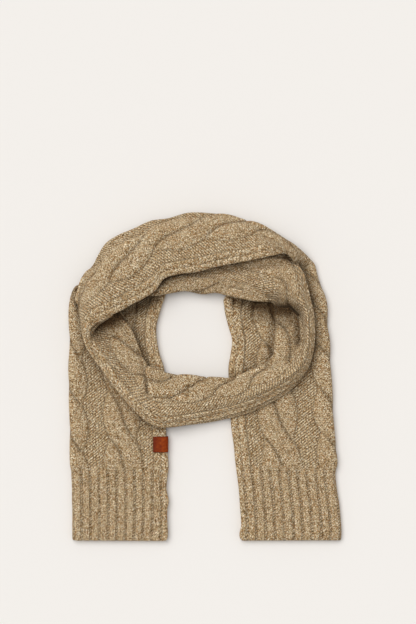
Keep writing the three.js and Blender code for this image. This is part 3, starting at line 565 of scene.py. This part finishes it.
def cable(u, v, span, turns, lean):
    """Height, stitch column and row of a rope of two strands, each of which passes over in turn."""
    half = (span[1] - span[0]) / 2
    a = (v - span[0]) / half - 1
    angle = math.pi * turns
    strands = []
    for sign in (1, -1):
        centre = -sign * lean * STRAND_SWAY * np.cos(angle)
        across = (a - centre) / STRAND_HALF
        lift = 1 + sign * STRAND_LIFT * np.sin(angle)
        body = np.clip(1 - across**2, 0, 1) ** STRAND_ROUND
        strands.append((CABLE_HEIGHT * lift * body, (across * STRAND_HALF + 1) * half + span[0]))
    (one, column_one), (two, column_two) = strands
    height = np.maximum(one, two)
    seam = np.exp(-(((one - two) / SEAM_WIDTH) ** 2)) * ease(np.minimum(one, two) / 2)
    column = np.where(one > two, column_one, column_two) / STITCH_WIDTH
    return height, column, u / STITCH_HEIGHT, height > 0, seam


def hem_ribs(near_edge):
    d = fraction((near_edge - FIRST_RIB_GROOVE) / RIB_PITCH) * RIB_PITCH
    d = np.minimum(d, RIB_PITCH - d)
    ribs = RIB_HEIGHT * arch(d - RIB_VALLEY, RIB_PITCH / 2 - RIB_VALLEY)
    return ribs - MIDDLE_LINE * np.exp(-(((RIB_PITCH / 2 - d) / MIDDLE_LINE_WIDTH) ** 2))


def edge_ribs(edge):
    d = fraction(edge)
    d = np.minimum(d, 1 - d) * EDGE_RIB_PITCH
    return EDGE_RIB_HEIGHT * arch(d, EDGE_RIB_PITCH / 2)


def knit(u, v, from_hem, side_turns, middle_turns, spec):
    """Height over the purl ground, and each point's stitch column, row and share of purl."""
    near_edge = np.minimum(v, 2 * HALF_WIDTH - v)
    ribs = hem_ribs(near_edge)
    rib_share = 1 - ease((from_hem - RIB_LENGTH) / RIB_BLEND)
    in_ribs = rib_share > 0.5
    settled = ease((from_hem - RIB_LENGTH - RIB_BLEND) / CABLE_START)
    edge = near_edge / EDGE_RIB_PITCH
    on_edge = edge < EDGE_RIB_COUNT
    body = np.where(on_edge, edge_ribs(edge), 0)
    purl = np.where(on_edge, 0, np.ones_like(v))
    column = np.where(on_edge, near_edge / EDGE_STITCH[0], v / STITCH_WIDTH)
    row = np.where(on_edge, u / EDGE_STITCH[1], u / STITCH_HEIGHT)
    seam = np.zeros_like(v)
    for span, turns, across in (
        (SIDE_CABLE, side_turns, near_edge),
        (MIDDLE_CABLE, middle_turns, v),
    ):
        height, c, r, inside, between = cable(u, across, span, turns, spec["lean"])
        body = body + height - SEAM_DEPTH * between
        seam = np.maximum(seam, between * (1 - rib_share))
        in_body = inside & (rib_share < 0.5)
        column = np.where(in_body, mix(column, c, settled), column)
        row = np.where(in_body, r, row)
        purl = np.where(inside, 0, purl)
    purl = mix(purl, (ribs < RIB_PURL_BELOW).astype(float), rib_share)
    rib_column = (near_edge - FIRST_RIB_GROOVE) / RIB_PITCH * RIB_STITCHES + RIB_FIRST_COLUMN
    column = np.where(in_ribs, rib_column, column)
    off_edge = near_edge > FIRST_RIB_GROOVE + RIB_PITCH
    row = np.where(in_ribs & off_edge, u / STITCH_HEIGHT, row)
    return mix(body, ribs, rib_share), column, row, purl, seam


def draped(rows, spec, ground, t, length):
    """Heights of the top and the underside of each section, laid over what is below."""
    x = mix(rows["selX"][:, None], rows["foldX"][:, None], t)
    y = mix(rows["selY"][:, None], rows["foldY"][:, None], t)
    below = rows["over"][:, None] * (ground.at(x, y) if ground else 0 * x)
    wished = monotone(rows, t[None, :]) - crease_depth(spec["creases"], x, y)
    least = np.where(below > BARE, below + DRAPE_GAP + FOLDED, 0)
    z = (wished + least + np.sqrt((wished - least) ** 2 + DRAPE_SOFTNESS)) / 2
    slope = np.gradient(z, axis=1) * (DENSE - 1) / length
    steep = np.minimum(STEEPEST, np.hypot(1, slope))
    floor = np.maximum(np.where(below > BARE, below + DRAPE_GAP, 0), z - FOLDED * steep)
    return z, floor * (1 - rows["tail"][:, None])


def section_lines(rows, spec, ground):
    """The outer line over the top of each section, and the line back below and between the layers."""
    t = np.linspace(0, 1, DENSE)
    length = run_of(rows)[2][:, None]
    z, floor = draped(rows, spec, ground, t, length)

    def at(values, place):
        """Each section's value at a distance from its selvedge."""
        share = np.clip(place / length, 0, 1) * (DENSE - 1)
        k = np.minimum(share.astype(int), DENSE - 2)
        ring = np.arange(len(values))[:, None]
        return mix(values[ring, k], values[ring, k + 1], share - k)

    thick = z - floor
    r = LAYER_ROUND * thick[:, :1]
    big = np.minimum(FOLD_ROUND * thick[:, -1:], FOLD_ROUND_MOST * length)
    turn = np.linspace(EDGE_TURN, math.pi / 2, EDGE_STEPS)[None, :]
    sel_a = r - r * np.cos(turn)
    sel_z = at(z, r) - r + r * np.sin(turn)
    fold_a = length - big + big * np.cos(turn[:, ::-1])
    fold_z = at(z, length - big) - big + big * np.sin(turn[:, ::-1])
    middle_a = mix(r, length - big, np.linspace(0.002, 0.998, DENSE)[None, :])
    top_a = np.concatenate([sel_a, middle_a, fold_a], axis=1)
    top_z = np.concatenate([sel_z, at(z, middle_a), fold_z], axis=1)

    under_a = mix(length - big, r, np.linspace(0, 1, UNDER_COLUMNS)[None, :])
    under_z = at(floor, under_a)
    down = np.linspace(math.pi / 2, EDGE_TURN, LIP_STEPS)[None, :]
    lower_a = r - r * np.cos(down) - rows["lip"][:, None]
    lower_z = floor[:, :1] + r - r * np.sin(down)
    slit = np.linspace(0, 1, SLIT_COLUMNS)[None, :] ** 1.5
    in_a = mix(2 * r, length - SLIT_END * big, slit)
    middle = at((z + floor) / 2, in_a)
    narrow = 0.5 * LAYER_GAP * (1 - SLIT_NARROWING * slit)
    rest_a = np.concatenate([under_a, lower_a, in_a, in_a[:, ::-1]], axis=1)
    rest_z = np.concatenate([under_z, lower_z, middle - narrow, (middle + narrow)[:, ::-1]], axis=1)
    return length, top_a, top_z, rest_a, rest_z


def placed(rows, length, a, z):
    """Points of the sections in the frame. Small waves of a tail's selvedge bend only the cloth there."""
    t = a / length
    y = mix(rows["selY"][:, None], rows["foldY"][:, None], t)
    window = np.ones(2 * CALM + 1) / (2 * CALM + 1)
    calm = np.convolve(np.pad(rows["selX"], CALM, mode="edge"), window, "valid")
    wave = ((rows["selX"] - calm) * rows["tail"])[:, None]
    x = mix(rows["selX"][:, None] - wave, rows["foldX"][:, None], t)
    return np.stack([x + wave * np.exp(-a / EDGE_WAVE_REACH), y, z], axis=-1)


def normals(points):
    """Outward normals of a grid of points."""
    n = np.cross(np.gradient(points, axis=1), np.gradient(points, axis=0))
    size = np.linalg.norm(n, axis=-1, keepdims=True)
    n = n / np.where(size == 0, 1, size)
    return n if n[:, n.shape[1] // 2, 2].mean() > 0 else -n


def evened(lines):
    """Columns evenly spaced along the outer lines, and their shares of the way from selvedge to fold."""
    steps = np.hypot(*(np.diff(line, axis=1) for line in lines))
    along = np.concatenate([np.zeros((len(steps), 1)), np.cumsum(steps, axis=1)], axis=1)
    first, last = along[:, EDGE_STEPS // 2], along[:, -EDGE_STEPS // 2]
    even = np.linspace(0, 1, TOP_COLUMNS)
    spaced = [np.stack([np.interp(even * s[-1], s, row) for s, row in zip(along, line)]) for line in lines]
    share = (even[None, :] * along[:, -1:] - first[:, None]) / (last - first)[:, None]
    return (*spaced, share)


def stretch(table, spec, ground=None):
    """Grids of a stretch: the knitted outside, the rest of each ring, and the stitches' coordinates."""
    position, walked = stations(table, RING_STEP)
    rows = rows_at(table, position)
    length, top_a, top_z, rest_a, rest_z = section_lines(rows, spec, ground)
    a, z, share = evened((top_a, top_z))
    v = mix(rows["vSel"][:, None], rows["vFold"][:, None], share)
    u = np.repeat(spec["start"] + walked[:, None], TOP_COLUMNS, axis=1)
    points = placed(rows, length, a, z)
    n = smoothed(normals(points), NORMAL_BLUR)
    from_hem = np.minimum(u, spec["whole"] - u)
    side_turns, middle_turns = (twist(rows, walked, spec[name]) for name in ("side", "middle"))
    height, column, row, purl, seam = knit(u, v, from_hem, side_turns, middle_turns, spec)
    hem = rounded(from_hem, HEM_ROUND)
    height = height * hem * (1 - crease_depth(spec["plain"], points[..., 0], points[..., 1]))
    twelfths = np.linspace(0, 12, TOP_COLUMNS)[None, :]
    at_selvedge = mix(SELVEDGE_RELIEF, 1, ease(twelfths))
    at_fold = mix(FOLD_RELIEF, 1, ease((12 - twelfths) / FOLD_FADE))
    points = points + n * (height * at_selvedge * at_fold)[..., None]
    plan = points[..., 0], points[..., 1]
    relief = height - crease_depth(spec["creases"], *plan)
    # Painted shade: darker in the valleys of the relief, between the strands and along the stretch's shade
    # lines.
    hollow = np.clip((smoothed(relief, HOLLOW_REACH) - relief) / HOLLOW_DEPTH, 0, 1)
    hollow = np.maximum(hollow, SEAM_SHADE * seam)
    hollow = np.minimum(hollow + crease_depth(spec["shades"], *plan), DARKEST)
    points[..., 2] -= (1 - hem) * FOLDED * HEM_DROP
    rest = placed(rows, length, rest_a, rest_z)
    rest_v = 2 * HALF_WIDTH - mix(rows["vSel"][:, None], rows["vFold"][:, None], rest_a / length)
    rest_u = np.repeat(spec["start"] + walked[:, None], rest_a.shape[1], axis=1)
    rest_yarn = np.stack([rest_v / STITCH_WIDTH, rest_u / STITCH_HEIGHT, 0 * rest_v], axis=-1)
    yarn = np.stack([column, row, purl], axis=-1)
    grid = np.concatenate([points, rest], axis=1)
    grid[..., 2] = np.maximum(grid[..., 2], 0)
    return {
        "grid": grid,
        "yarn": np.concatenate([yarn, rest_yarn], axis=1),
        "hollow": np.concatenate([hollow, np.zeros_like(rest_a)], axis=1),
        "rows": rows,
        "walked": walked,
    }


def corner_roll(path, radii, steps, shade):
    """Grids of a roll of cloth along the path round the left corner, with its stitches in columns."""
    along, around = steps
    line, walked = curve(path, along)
    ahead = np.gradient(line, axis=0)
    ahead /= np.linalg.norm(ahead, axis=1, keepdims=True)
    out = np.cross(ahead, [0, 0, 1])
    out /= np.linalg.norm(out, axis=1, keepdims=True)
    up = np.cross(out, ahead)
    angle = np.linspace(0, 2 * math.pi, around, endpoint=False)[None, :]
    wide, high = radii
    ends = rounded(np.minimum(walked, walked[-1] - walked), ROLL_END)[:, None]
    rib = np.sqrt(np.abs(np.sin(angle * ROLL_RIBS / 2))) - 1
    ridge = ROLL_RIB_SHARE * EDGE_RIB_HEIGHT * rib
    a = (wide + ridge) * np.cos(angle) * ends
    b = (high + ridge) * np.sin(angle) * ends
    grid = line[:, None] + out[:, None] * a[..., None] + up[:, None] * b[..., None]
    column = np.broadcast_to(angle / (2 * math.pi) * ROLL_STITCHES, a.shape)
    row = np.broadcast_to(walked[:, None] / EDGE_STITCH[1], a.shape)
    yarn = np.stack([column, row, 0 * a], axis=-1)
    # Painted shade: the given share, and darker between the roll's ribs.
    hollow = np.clip(shade - ridge / EDGE_RIB_HEIGHT, 0, 1) * np.ones_like(a)
    return {"grid": grid, "yarn": yarn, "hollow": hollow}


def tube_quads(rings, around, first=0):
    """Vertex numbers of a tube's rings, counted from first, and the quads between the rings."""
    index = first + np.arange(rings * around).reshape(rings, around)
    after = np.roll(index, -1, axis=1)
    quads = np.stack([index[:-1], index[1:], after[1:], after[:-1]], axis=-1)
    return index, quads.reshape(-1, 4).tolist()


def linked(name, data):
    obj = bpy.data.objects.new(name, data)
    bpy.context.collection.objects.link(obj)
    return obj


def mesh_object(name, points, faces, material, **attributes):
    """An object made of points in mm, with each named array of numbers or vectors as an attribute."""
    mesh = bpy.data.meshes.new(name)
    mesh.from_pydata((points * MM).tolist(), [], faces)
    for key, values in attributes.items():
        kind, field = ("FLOAT_VECTOR", "vector") if values.ndim > 1 else ("FLOAT", "value")
        mesh.attributes.new(key, kind, "POINT").data.foreach_set(field, values.reshape(-1))
    mesh.validate()
    mesh.polygons.foreach_set("use_smooth", [len(face) == 4 for face in faces])
    mesh.materials.append(material)
    return linked(name, mesh)


def cloth_object(name, tubes, material):
    """A mesh of closed tubes, each given by its grids of points, stitches and painted shade."""
    faces = []
    first = 0
    for tube in tubes:
        index, quads = tube_quads(*tube["grid"].shape[:2], first)
        faces += [index[0].tolist(), index[-1][::-1].tolist(), *quads]
        first += index.size
    points = np.concatenate([tube["grid"].reshape(-1, 3) for tube in tubes])
    yarn = np.concatenate([tube["yarn"].reshape(-1, 3) for tube in tubes])
    hollow = np.concatenate([tube["hollow"].reshape(-1) for tube in tubes])
    return mesh_object(name, points, faces, material, yarn=yarn, hollow=hollow)


class Nodes:
    """Short words for building a material's node tree."""

    def __init__(self, name):
        self.material = bpy.data.materials.new(name)
        self.material.use_nodes = True
        self.tree = self.material.node_tree
        self.tree.nodes.clear()

    def new(self, kind, inputs=(), **settings):
        node = self.tree.nodes.new(kind)
        for name, value in settings.items():
            setattr(node, name, value)
        for name, value in dict(inputs).items():
            self.feed(node.inputs[name], value)
        return node

    def feed(self, socket, value):
        if isinstance(value, bpy.types.NodeSocket):
            self.tree.links.new(value, socket)
        else:
            socket.default_value = value

    def math(self, operation, *values):
        node = self.new("ShaderNodeMath", operation=operation)
        for socket, value in zip(node.inputs, values):
            self.feed(socket, value)
        return node.outputs[0]

    def mix_value(self, share, a, b):
        node = self.new("ShaderNodeMix", data_type="FLOAT")
        for socket, value in zip(node.inputs[:1] + node.inputs[2:4], (share, a, b)):
            self.feed(socket, value)
        return node.outputs[0]

    def mix_colour(self, share, a, b, blend="MIX"):
        node = self.new("ShaderNodeMix", data_type="RGBA", blend_type=blend)
        for socket, value in zip((node.inputs[0], node.inputs[6], node.inputs[7]), (share, a, b)):
            self.feed(socket, value)
        return node.outputs[2]

    def ramp(self, share, stops):
        node = self.new("ShaderNodeValToRGB", {"Fac": share})
        elements = node.color_ramp.elements
        while len(elements) < len(stops):
            elements.new(0.5)
        for element, (place, colour) in zip(elements, stops):
            element.position = place
            element.color = srgb(*colour)
        return node.outputs[0]

    def between(self, value, low, high):
        """A value from 0 to 1, stretched to run from low to high."""
        return self.math("MULTIPLY_ADD", value, high - low, low)

    def wave(self, operation, value):
        """The sine or cosine of a value counted in full turns."""
        return self.math(operation, self.math("MULTIPLY", value, 2 * math.pi))

    def noise(self, place, scale, detail=2.0, roughness=0.5):
        inputs = {"Vector": place, "Scale": scale, "Detail": detail, "Roughness": roughness}
        return self.new("ShaderNodeTexNoise", inputs).outputs["Fac"]

    def dice(self, x, y):
        """A random value for each pair of whole numbers."""
        cell = self.new("ShaderNodeCombineXYZ", {"X": x, "Y": y}).outputs[0]
        return self.new("ShaderNodeTexWhiteNoise", {"Vector": cell}, noise_dimensions="2D").outputs["Value"]

    def surface(self, inputs):
        """Ends the tree with a surface and gives its material."""
        shader = self.new("ShaderNodeBsdfPrincipled", inputs)
        self.new("ShaderNodeOutputMaterial", {"Surface": shader.outputs[0]})
        return self.material


def srgb(red, green, blue):
    """A colour given in screen values from 0 to 255, in linear values with full cover."""

    def linear(value):
        value /= 255
        return value / 12.92 if value <= 0.04045 else ((value + 0.055) / 1.055) ** 2.4

    return (linear(red), linear(green), linear(blue), 1)


# Wool. Tones are screen values, from the darkest ply to the lightest; ranges run from low to high.
WOOL_TONES = [
    (0.16, (82, 60, 34)),
    (0.36, (140, 112, 76)),
    (0.5, (180, 154, 115)),
    (0.64, (206, 184, 147)),
    (0.86, (242, 231, 206)),
]
WARM_TONE = (170, 118, 64)
WARM_ABOVE = 0.84  # dice that make a ply warm
WARM_SHARE = 0.6
WARM_OFFSET = 37.3
SHEEN_TONE = (236, 224, 200)
LEG_SLANT = 0.7
LEG_RANGE = (0.4, 1)
SWELL_RANGE = (0.2, 1)
DASH_RANGE = (0.3, 1)
TWILL_SLOPE = 0.8
TWILL_DRIFT = 0.5
DRIFT_SCALE = 0.35
PLIES = (4.5, 3)  # across a stitch and along it
MOTTLE_SHARE = 0.4
# Painted shade: the share of light the colour keeps from each stitch's valley to its crest, and, by
# channel, at full painted shade.
KNIT_LIGHT = (0.54, 1.38)
PURL_LIGHT = (0.56, 1.51)
HOLLOW_LIGHT = {"Red": 0.4, "Green": 0.375, "Blue": 0.35}


def wool_material():
    """Marl yarn: V stitches and purl bumps, each loop its own tone, with painted shade in each stitch's
    valleys and down in the hollows.
    """
    n = Nodes("beige_wool")
    yarn = n.new("ShaderNodeAttribute", attribute_name="yarn").outputs["Vector"]
    hollow = n.new("ShaderNodeAttribute", attribute_name="hollow").outputs["Fac"]
    column, row, purl = n.new("ShaderNodeSeparateXYZ", {"Vector": yarn}).outputs
    off_middle = n.math("ABSOLUTE", n.math("SUBTRACT", n.math("FRACT", column), 0.5))
    slanted = n.math("SUBTRACT", row, n.math("MULTIPLY", off_middle, 2 * LEG_SLANT))
    leg = n.math("POWER", n.math("ABSOLUTE", n.wave("SINE", column)), 0.5)
    swell = n.wave("SINE", n.math("MULTIPLY", n.math("FRACT", slanted), 0.5))
    knit_stitch = n.math("MULTIPLY", n.between(leg, *LEG_RANGE), n.between(swell, *SWELL_RANGE))
    drift = n.noise(yarn, DRIFT_SCALE, detail=1.0)
    twill = n.math("MULTIPLY_ADD", drift, TWILL_DRIFT, n.math("ADD", row, column))
    purl_wave = n.wave("COSINE", n.math("MULTIPLY", twill, TWILL_SLOPE))
    purl_swell = n.math("MULTIPLY_ADD", purl_wave, 0.5, 0.5)
    purl_dash = n.math("ABSOLUTE", n.wave("SINE", n.math("MULTIPLY", column, 0.5)))
    purl_stitch = n.math("MULTIPLY", purl_swell, n.between(purl_dash, *DASH_RANGE))
    stitch = n.mix_value(purl, knit_stitch, purl_stitch)

    across = n.math("FLOOR", n.math("MULTIPLY", column, PLIES[0]))
    along = n.math("FLOOR", n.math("MULTIPLY", slanted, PLIES[1]))
    place = n.new("ShaderNodeTexCoord").outputs["Object"]
    strands = n.noise(place, 900.0, roughness=0.75)
    fuzz = n.noise(place, 1900.0, roughness=0.8)
    tone = n.mix_value(MOTTLE_SHARE, n.dice(across, along), n.mix_value(0.5, strands, fuzz))
    warm_dice = n.dice(n.math("ADD", across, WARM_OFFSET), along)
    warm = n.math("MULTIPLY", n.math("GREATER_THAN", warm_dice, WARM_ABOVE), WARM_SHARE)
    colour = n.mix_colour(warm, n.ramp(tone, WOOL_TONES), srgb(*WARM_TONE))
    # Painted shade: the colour is darkened in each stitch's valleys and by the painted shade share.
    light = n.mix_value(purl, n.between(stitch, *KNIT_LIGHT), n.between(stitch, *PURL_LIGHT))
    shade = n.new("ShaderNodeCombineColor", {
        name: n.math("MULTIPLY", light, n.between(hollow, 1, lowest))
        for name, lowest in HOLLOW_LIGHT.items()
    })
    colour = n.mix_colour(1.0, colour, shade.outputs[0], "MULTIPLY")

    fibres = n.noise(place, 1500.0)
    fine = n.new("ShaderNodeBump", {"Height": fibres, "Distance": 0.00012, "Strength": 0.6})
    bump = n.new("ShaderNodeBump", {
        "Height": stitch,
        "Distance": 0.0009,
        "Strength": 0.9,
        "Normal": fine.outputs[0],
    })
    return n.surface({
        "Base Color": colour,
        "Roughness": 0.9,
        "Specular IOR Level": 0.15,
        "Sheen Weight": 0.1,
        "Sheen Roughness": 0.5,
        "Sheen Tint": srgb(*SHEEN_TONE),
        "Normal": bump.outputs[0],
    })


# Leather. Places are counted in mm from the free end and from the nearer side.
LEATHER_TONES = [
    (0.3, (112, 36, 2)),
    (0.5, (136, 52, 5)),
    (0.72, (158, 70, 11)),
]
# Darker towards each end of the strip: partly the leather's own tone, partly painted shade that leaves the
# flap lighter towards the fold, where the sheen falls.
DARK_TONE = (96, 24, 2)
DARK_REACH = 14.0
WORN_TONE = (70, 26, 14)
WORN_REACH = 1.6
EDGE_SHARE = 0.7
THREAD_TONE = (92, 38, 22)
THREAD_SHARE = 0.8
THREAD_FROM_END = 2.6
THREAD_HALF = 0.45
THREAD_PITCH = 2.9
THREAD_SHOWN = 0.66
THREAD_DEPTH = 0.8


def leather_material():
    """Saddle leather with a fine grain, darker worn edges, a darker band at each end that is partly its own
    tone and partly painted shade, and a row of stitches along the free end.
    """
    n = Nodes("tan_leather")
    place = n.new("ShaderNodeTexCoord").outputs["Object"]
    from_edges = n.new("ShaderNodeAttribute", attribute_name="leather").outputs["Vector"]
    from_end, from_side, _ = n.new("ShaderNodeSeparateXYZ", {"Vector": from_edges}).outputs

    def beside(distance, reach, softness):
        """The share of a darker tone at a distance from where it is strongest."""
        near = n.math("SMOOTH_MIN", n.math("DIVIDE", distance, reach), 1, softness)
        return n.math("MULTIPLY", n.math("SUBTRACT", 1, near), EDGE_SHARE)

    colour = n.ramp(n.noise(place, 260.0, detail=4.0), LEATHER_TONES)
    # Partly painted shade: darker towards each end of the strip.
    colour = n.mix_colour(beside(from_end, DARK_REACH, 0.3), colour, srgb(*DARK_TONE))
    nearest = n.math("MINIMUM", from_end, from_side)
    colour = n.mix_colour(beside(nearest, WORN_REACH, 0.2), colour, srgb(*WORN_TONE))
    off_line = n.math("ABSOLUTE", n.math("SUBTRACT", from_end, THREAD_FROM_END))
    on_line = n.math("LESS_THAN", off_line, THREAD_HALF)
    dash = n.math("LESS_THAN", n.math("FRACT", n.math("DIVIDE", from_side, THREAD_PITCH)), THREAD_SHOWN)
    thread = n.math("MULTIPLY", n.math("MULTIPLY", on_line, dash), THREAD_SHARE)
    colour = n.mix_colour(thread, colour, srgb(*THREAD_TONE))
    grain = n.new("ShaderNodeTexVoronoi", {"Vector": place, "Scale": 1900.0}).outputs["Distance"]
    height = n.math("SUBTRACT", grain, n.math("MULTIPLY", on_line, THREAD_DEPTH))
    bump = n.new("ShaderNodeBump", {"Height": height, "Distance": 0.0002, "Strength": 0.5})
    return n.surface({
        "Base Color": colour,
        "Roughness": 0.45,
        "Specular IOR Level": 0.1,
        "Normal": bump.outputs[0],
    })


# The leather tab, folded over the selvedges of the left end: the middle of its thickness, from the free end
# of the longer flap, which is the upper one, round the edge and in between the layers.
TAB_SPINE = columns("x y z", [
    (-78.4, 0, 13.85),
    (-68.9, 0, 14.2),
    (-59.9, 0, 13.85),
    (-57.5, 0, 12.5),
    (-56.3, 0, 9.9),
    (-56.7, 0, 6.7),
    (-60.1, 0, 5.3),
])
TAB_FROM, TAB_TO = -114, -90
TAB_THICK = 1.5
TAB_CORNER = 1.6
TAB_ROUND = (0.5, 0.6)  # over its sides and over its ends
TAB_THINNING = 0.84
TAB_STATIONS = 44
TAB_STEPS = 60


def leather_tab(material):
    """The tab: a closed strip whose profile folds round the edge of the cloth."""
    line, walked = curve(TAB_SPINE, TAB_STEPS)
    ahead = np.gradient(line, axis=0)
    ahead /= np.linalg.norm(ahead, axis=1, keepdims=True)
    across = np.stack([-ahead[:, 2], 0 * ahead[:, 1], ahead[:, 0]], axis=1)
    angle = np.linspace(0, math.pi, TAB_STATIONS)
    y = (TAB_FROM + TAB_TO) / 2 - np.cos(angle) * (TAB_TO - TAB_FROM) / 2
    from_side = np.minimum(y - TAB_FROM, TAB_TO - y)
    pull = TAB_CORNER * (1 - rounded(from_side, TAB_CORNER))
    half = TAB_THICK / 2 * rounded(from_side, TAB_ROUND[0], TAB_THINNING)
    count = np.arange(TAB_STEPS)
    points, places = [], []
    for station in range(TAB_STATIONS):
        index = np.linspace(np.interp(pull[station], walked, count), TAB_STEPS - 1, TAB_STEPS)
        spot = np.stack([np.interp(index, count, part) for part in line.T], axis=1)
        side = np.stack([np.interp(index, count, part) for part in across.T], axis=1)
        along = np.interp(index, count, walked)
        spot[:, 1] = y[station]
        from_end = np.minimum(along - along[0], walked[-1] - along)
        width = half[station] * rounded(from_end, TAB_ROUND[1], TAB_THINNING)[:, None]
        points.append(np.concatenate([spot + side * width, (spot - side * width)[::-1]]))
        place = np.stack([along, 0 * along + from_side[station], 0 * along], axis=1)
        places.append(np.concatenate([place, place[::-1]]))
    index, faces = tube_quads(TAB_STATIONS, 2 * TAB_STEPS)
    for ring, step in ((index[0], 1), (index[-1], -1)):
        for k in range(TAB_STEPS - 1):
            face = [ring[k], ring[k + 1], ring[-2 - k], ring[-1 - k]]
            faces.append([int(i) for i in face[::step]])
    points, places = np.concatenate(points), np.concatenate(places)
    return mesh_object("scarf_leather_tab", points, faces, material, leather=places)


# The camera looks straight down from far away, so that heights hardly shift the plan.
CAMERA_HEIGHT = 4.0
VIEW_CENTRE = (0.0038, 0.096)
VIEW_LONG_SIDE = 0.936
SENSOR = 36

# A soft light from the upper left, an even fill, and a pale table below.
KEY_PLACE = (-0.9, 0.95, 2.5)
KEY_SPREAD = 50
KEY_POWER = 1.9
SKY = 0.47
PAPER = (243, 239, 234)
TABLE_HALF = 4
TABLE_LOWER = 0.0003


def camera():
    data = bpy.data.cameras.new("camera")
    data.sensor_width = SENSOR
    data.lens = SENSOR * CAMERA_HEIGHT / VIEW_LONG_SIDE
    data.clip_end = 20
    obj = linked("camera", data)
    obj.location = (*VIEW_CENTRE, CAMERA_HEIGHT)
    bpy.context.scene.camera = obj


def soft_sun(name, place, spread, strength):
    """Even light from the direction of a place, with soft shadows."""
    data = bpy.data.lights.new(name, "SUN")
    data.angle = math.radians(spread)
    data.energy = strength
    obj = linked(name, data)
    obj.location = place
    obj.rotation_euler = (-Vector(place)).to_track_quat("-Z", "Y").to_euler()


def studio():
    mesh = bpy.data.meshes.new("table_top")
    corners = [(TABLE_HALF * x, TABLE_HALF * y, 0) for x, y in ((-1, -1), (1, -1), (1, 1), (-1, 1))]
    mesh.from_pydata(corners, [], [(0, 1, 2, 3)])
    paper = {"Base Color": srgb(*PAPER), "Roughness": 0.9}
    mesh.materials.append(Nodes("pale_paper").surface(paper))
    table_top = linked("table_top", mesh)
    table_top.location.z = -TABLE_LOWER
    soft_sun("key", KEY_PLACE, KEY_SPREAD, KEY_POWER)
    world = bpy.data.worlds.new("studio")
    world.use_nodes = True
    background = world.node_tree.nodes["Background"]
    background.inputs["Color"].default_value = (1, 1, 1, 1)
    background.inputs["Strength"].default_value = SKY
    bpy.context.scene.world = world


def length_of(table):
    return stations(table, RING_STEP)[1][-1]


bpy.context.scene.view_settings.view_transform = "Standard"
camera()
studio()

# The five stretches, less the room for their relief.
left = drawn_in(tail_as_band(LEFT_TAIL), at_selvedge=1, at_fold=2.6)
back = drawn_in(as_band(BACK_BAND), at_selvedge=1, at_fold=6.5)
front = drawn_in(as_band(FRONT_SWATH), at_selvedge=1, at_fold=3)
top = drawn_in(as_band(TOP_SWATH), at_selvedge=1, at_fold=2.6)
right = drawn_in(tail_as_band(RIGHT_TAIL), at_selvedge=1.6, at_fold=4)
band = joined(back, front)
over = joined(top, right)

# How each joined stretch is knitted, creased and shaded.
SPEC_PARTS = ("lean", "side", "middle", "creases", "plain", "shades")
specs = [dict(zip(SPEC_PARTS, parts)) for parts in (
    (1, LEFT_SIDE, LEFT_MIDDLE, NO_CREASES, NO_CREASES, LEFT_SHADES),
    (-1, BAND_SIDE, BAND_MIDDLE, BAND_CREASES, BAND_PLAIN, BAND_SHADES),
    (1, OVER_SIDE, OVER_MIDDLE, TOP_CREASES, OVER_PLAIN, OVER_SHADES),
)]
lengths = [length_of(table) for table in (left, band, over)]
for spec, start in zip(specs, np.cumsum([0, *lengths])):
    spec |= {"start": start, "whole": sum(lengths)}
left_spec, band_spec, over_spec = specs

# Each stretch is draped over those below it.
left_made = stretch(left, left_spec)
ground = Ground()
ground.stamp(left_made["grid"])
over_flat = stretch(over, over_spec)
on_table = over_flat["rows"]["tail"] > 0.5
ground.stamp(over_flat["grid"][on_table])
band_made = stretch(band, band_spec, ground.widened())
ground.stamp(band_made["grid"])
over_made = stretch(over, over_spec, ground.widened())
ground.stamp(over_made["grid"])

# Painted shade: what lies deeper than the mean height around it is darkened, as if it got less light.
around = ground.blurred(SINK_BLUR)
for made in (left_made, band_made, over_made):
    x, y, z = np.moveaxis(made["grid"], -1, 0)
    sunk = np.clip((around.at(x, y) - z) / SINK_DEPTH, 0, 1)
    made["hollow"] += SINK_SHARE * sunk * np.maximum(0, 1 - made["hollow"])

wool = wool_material()
band_split = int(round(length_of(back) / RING_STEP))
over_split = int(np.argmax(on_table))
pieces = {
    "left_tail": (left_made, 0, None),
    "back_band": (band_made, 0, band_split + 1),
    "front_swath": (band_made, band_split, None),
    "top_swath": (over_made, 0, over_split + 1),
    "right_tail": (over_made, over_split, None),
}
for name, (made, low, high) in pieces.items():
    tubes = [{part: made[part][low:high] for part in ("grid", "yarn", "hollow")}]
    if name == "front_swath":
        tubes.append(corner_roll(CORNER_RIM, RIM_RADII, RIM_GRID, 0))
        tubes.append(corner_roll(CORNER_WALL, WALL_RADII, WALL_GRID, WALL_PAINTED_SHADE))
    obj = cloth_object("scarf_" + name, tubes, wool)
    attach(obj, ROOT)
    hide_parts(name)
tab = leather_tab(leather_material())
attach(tab, ROOT)
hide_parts("leather_tab")
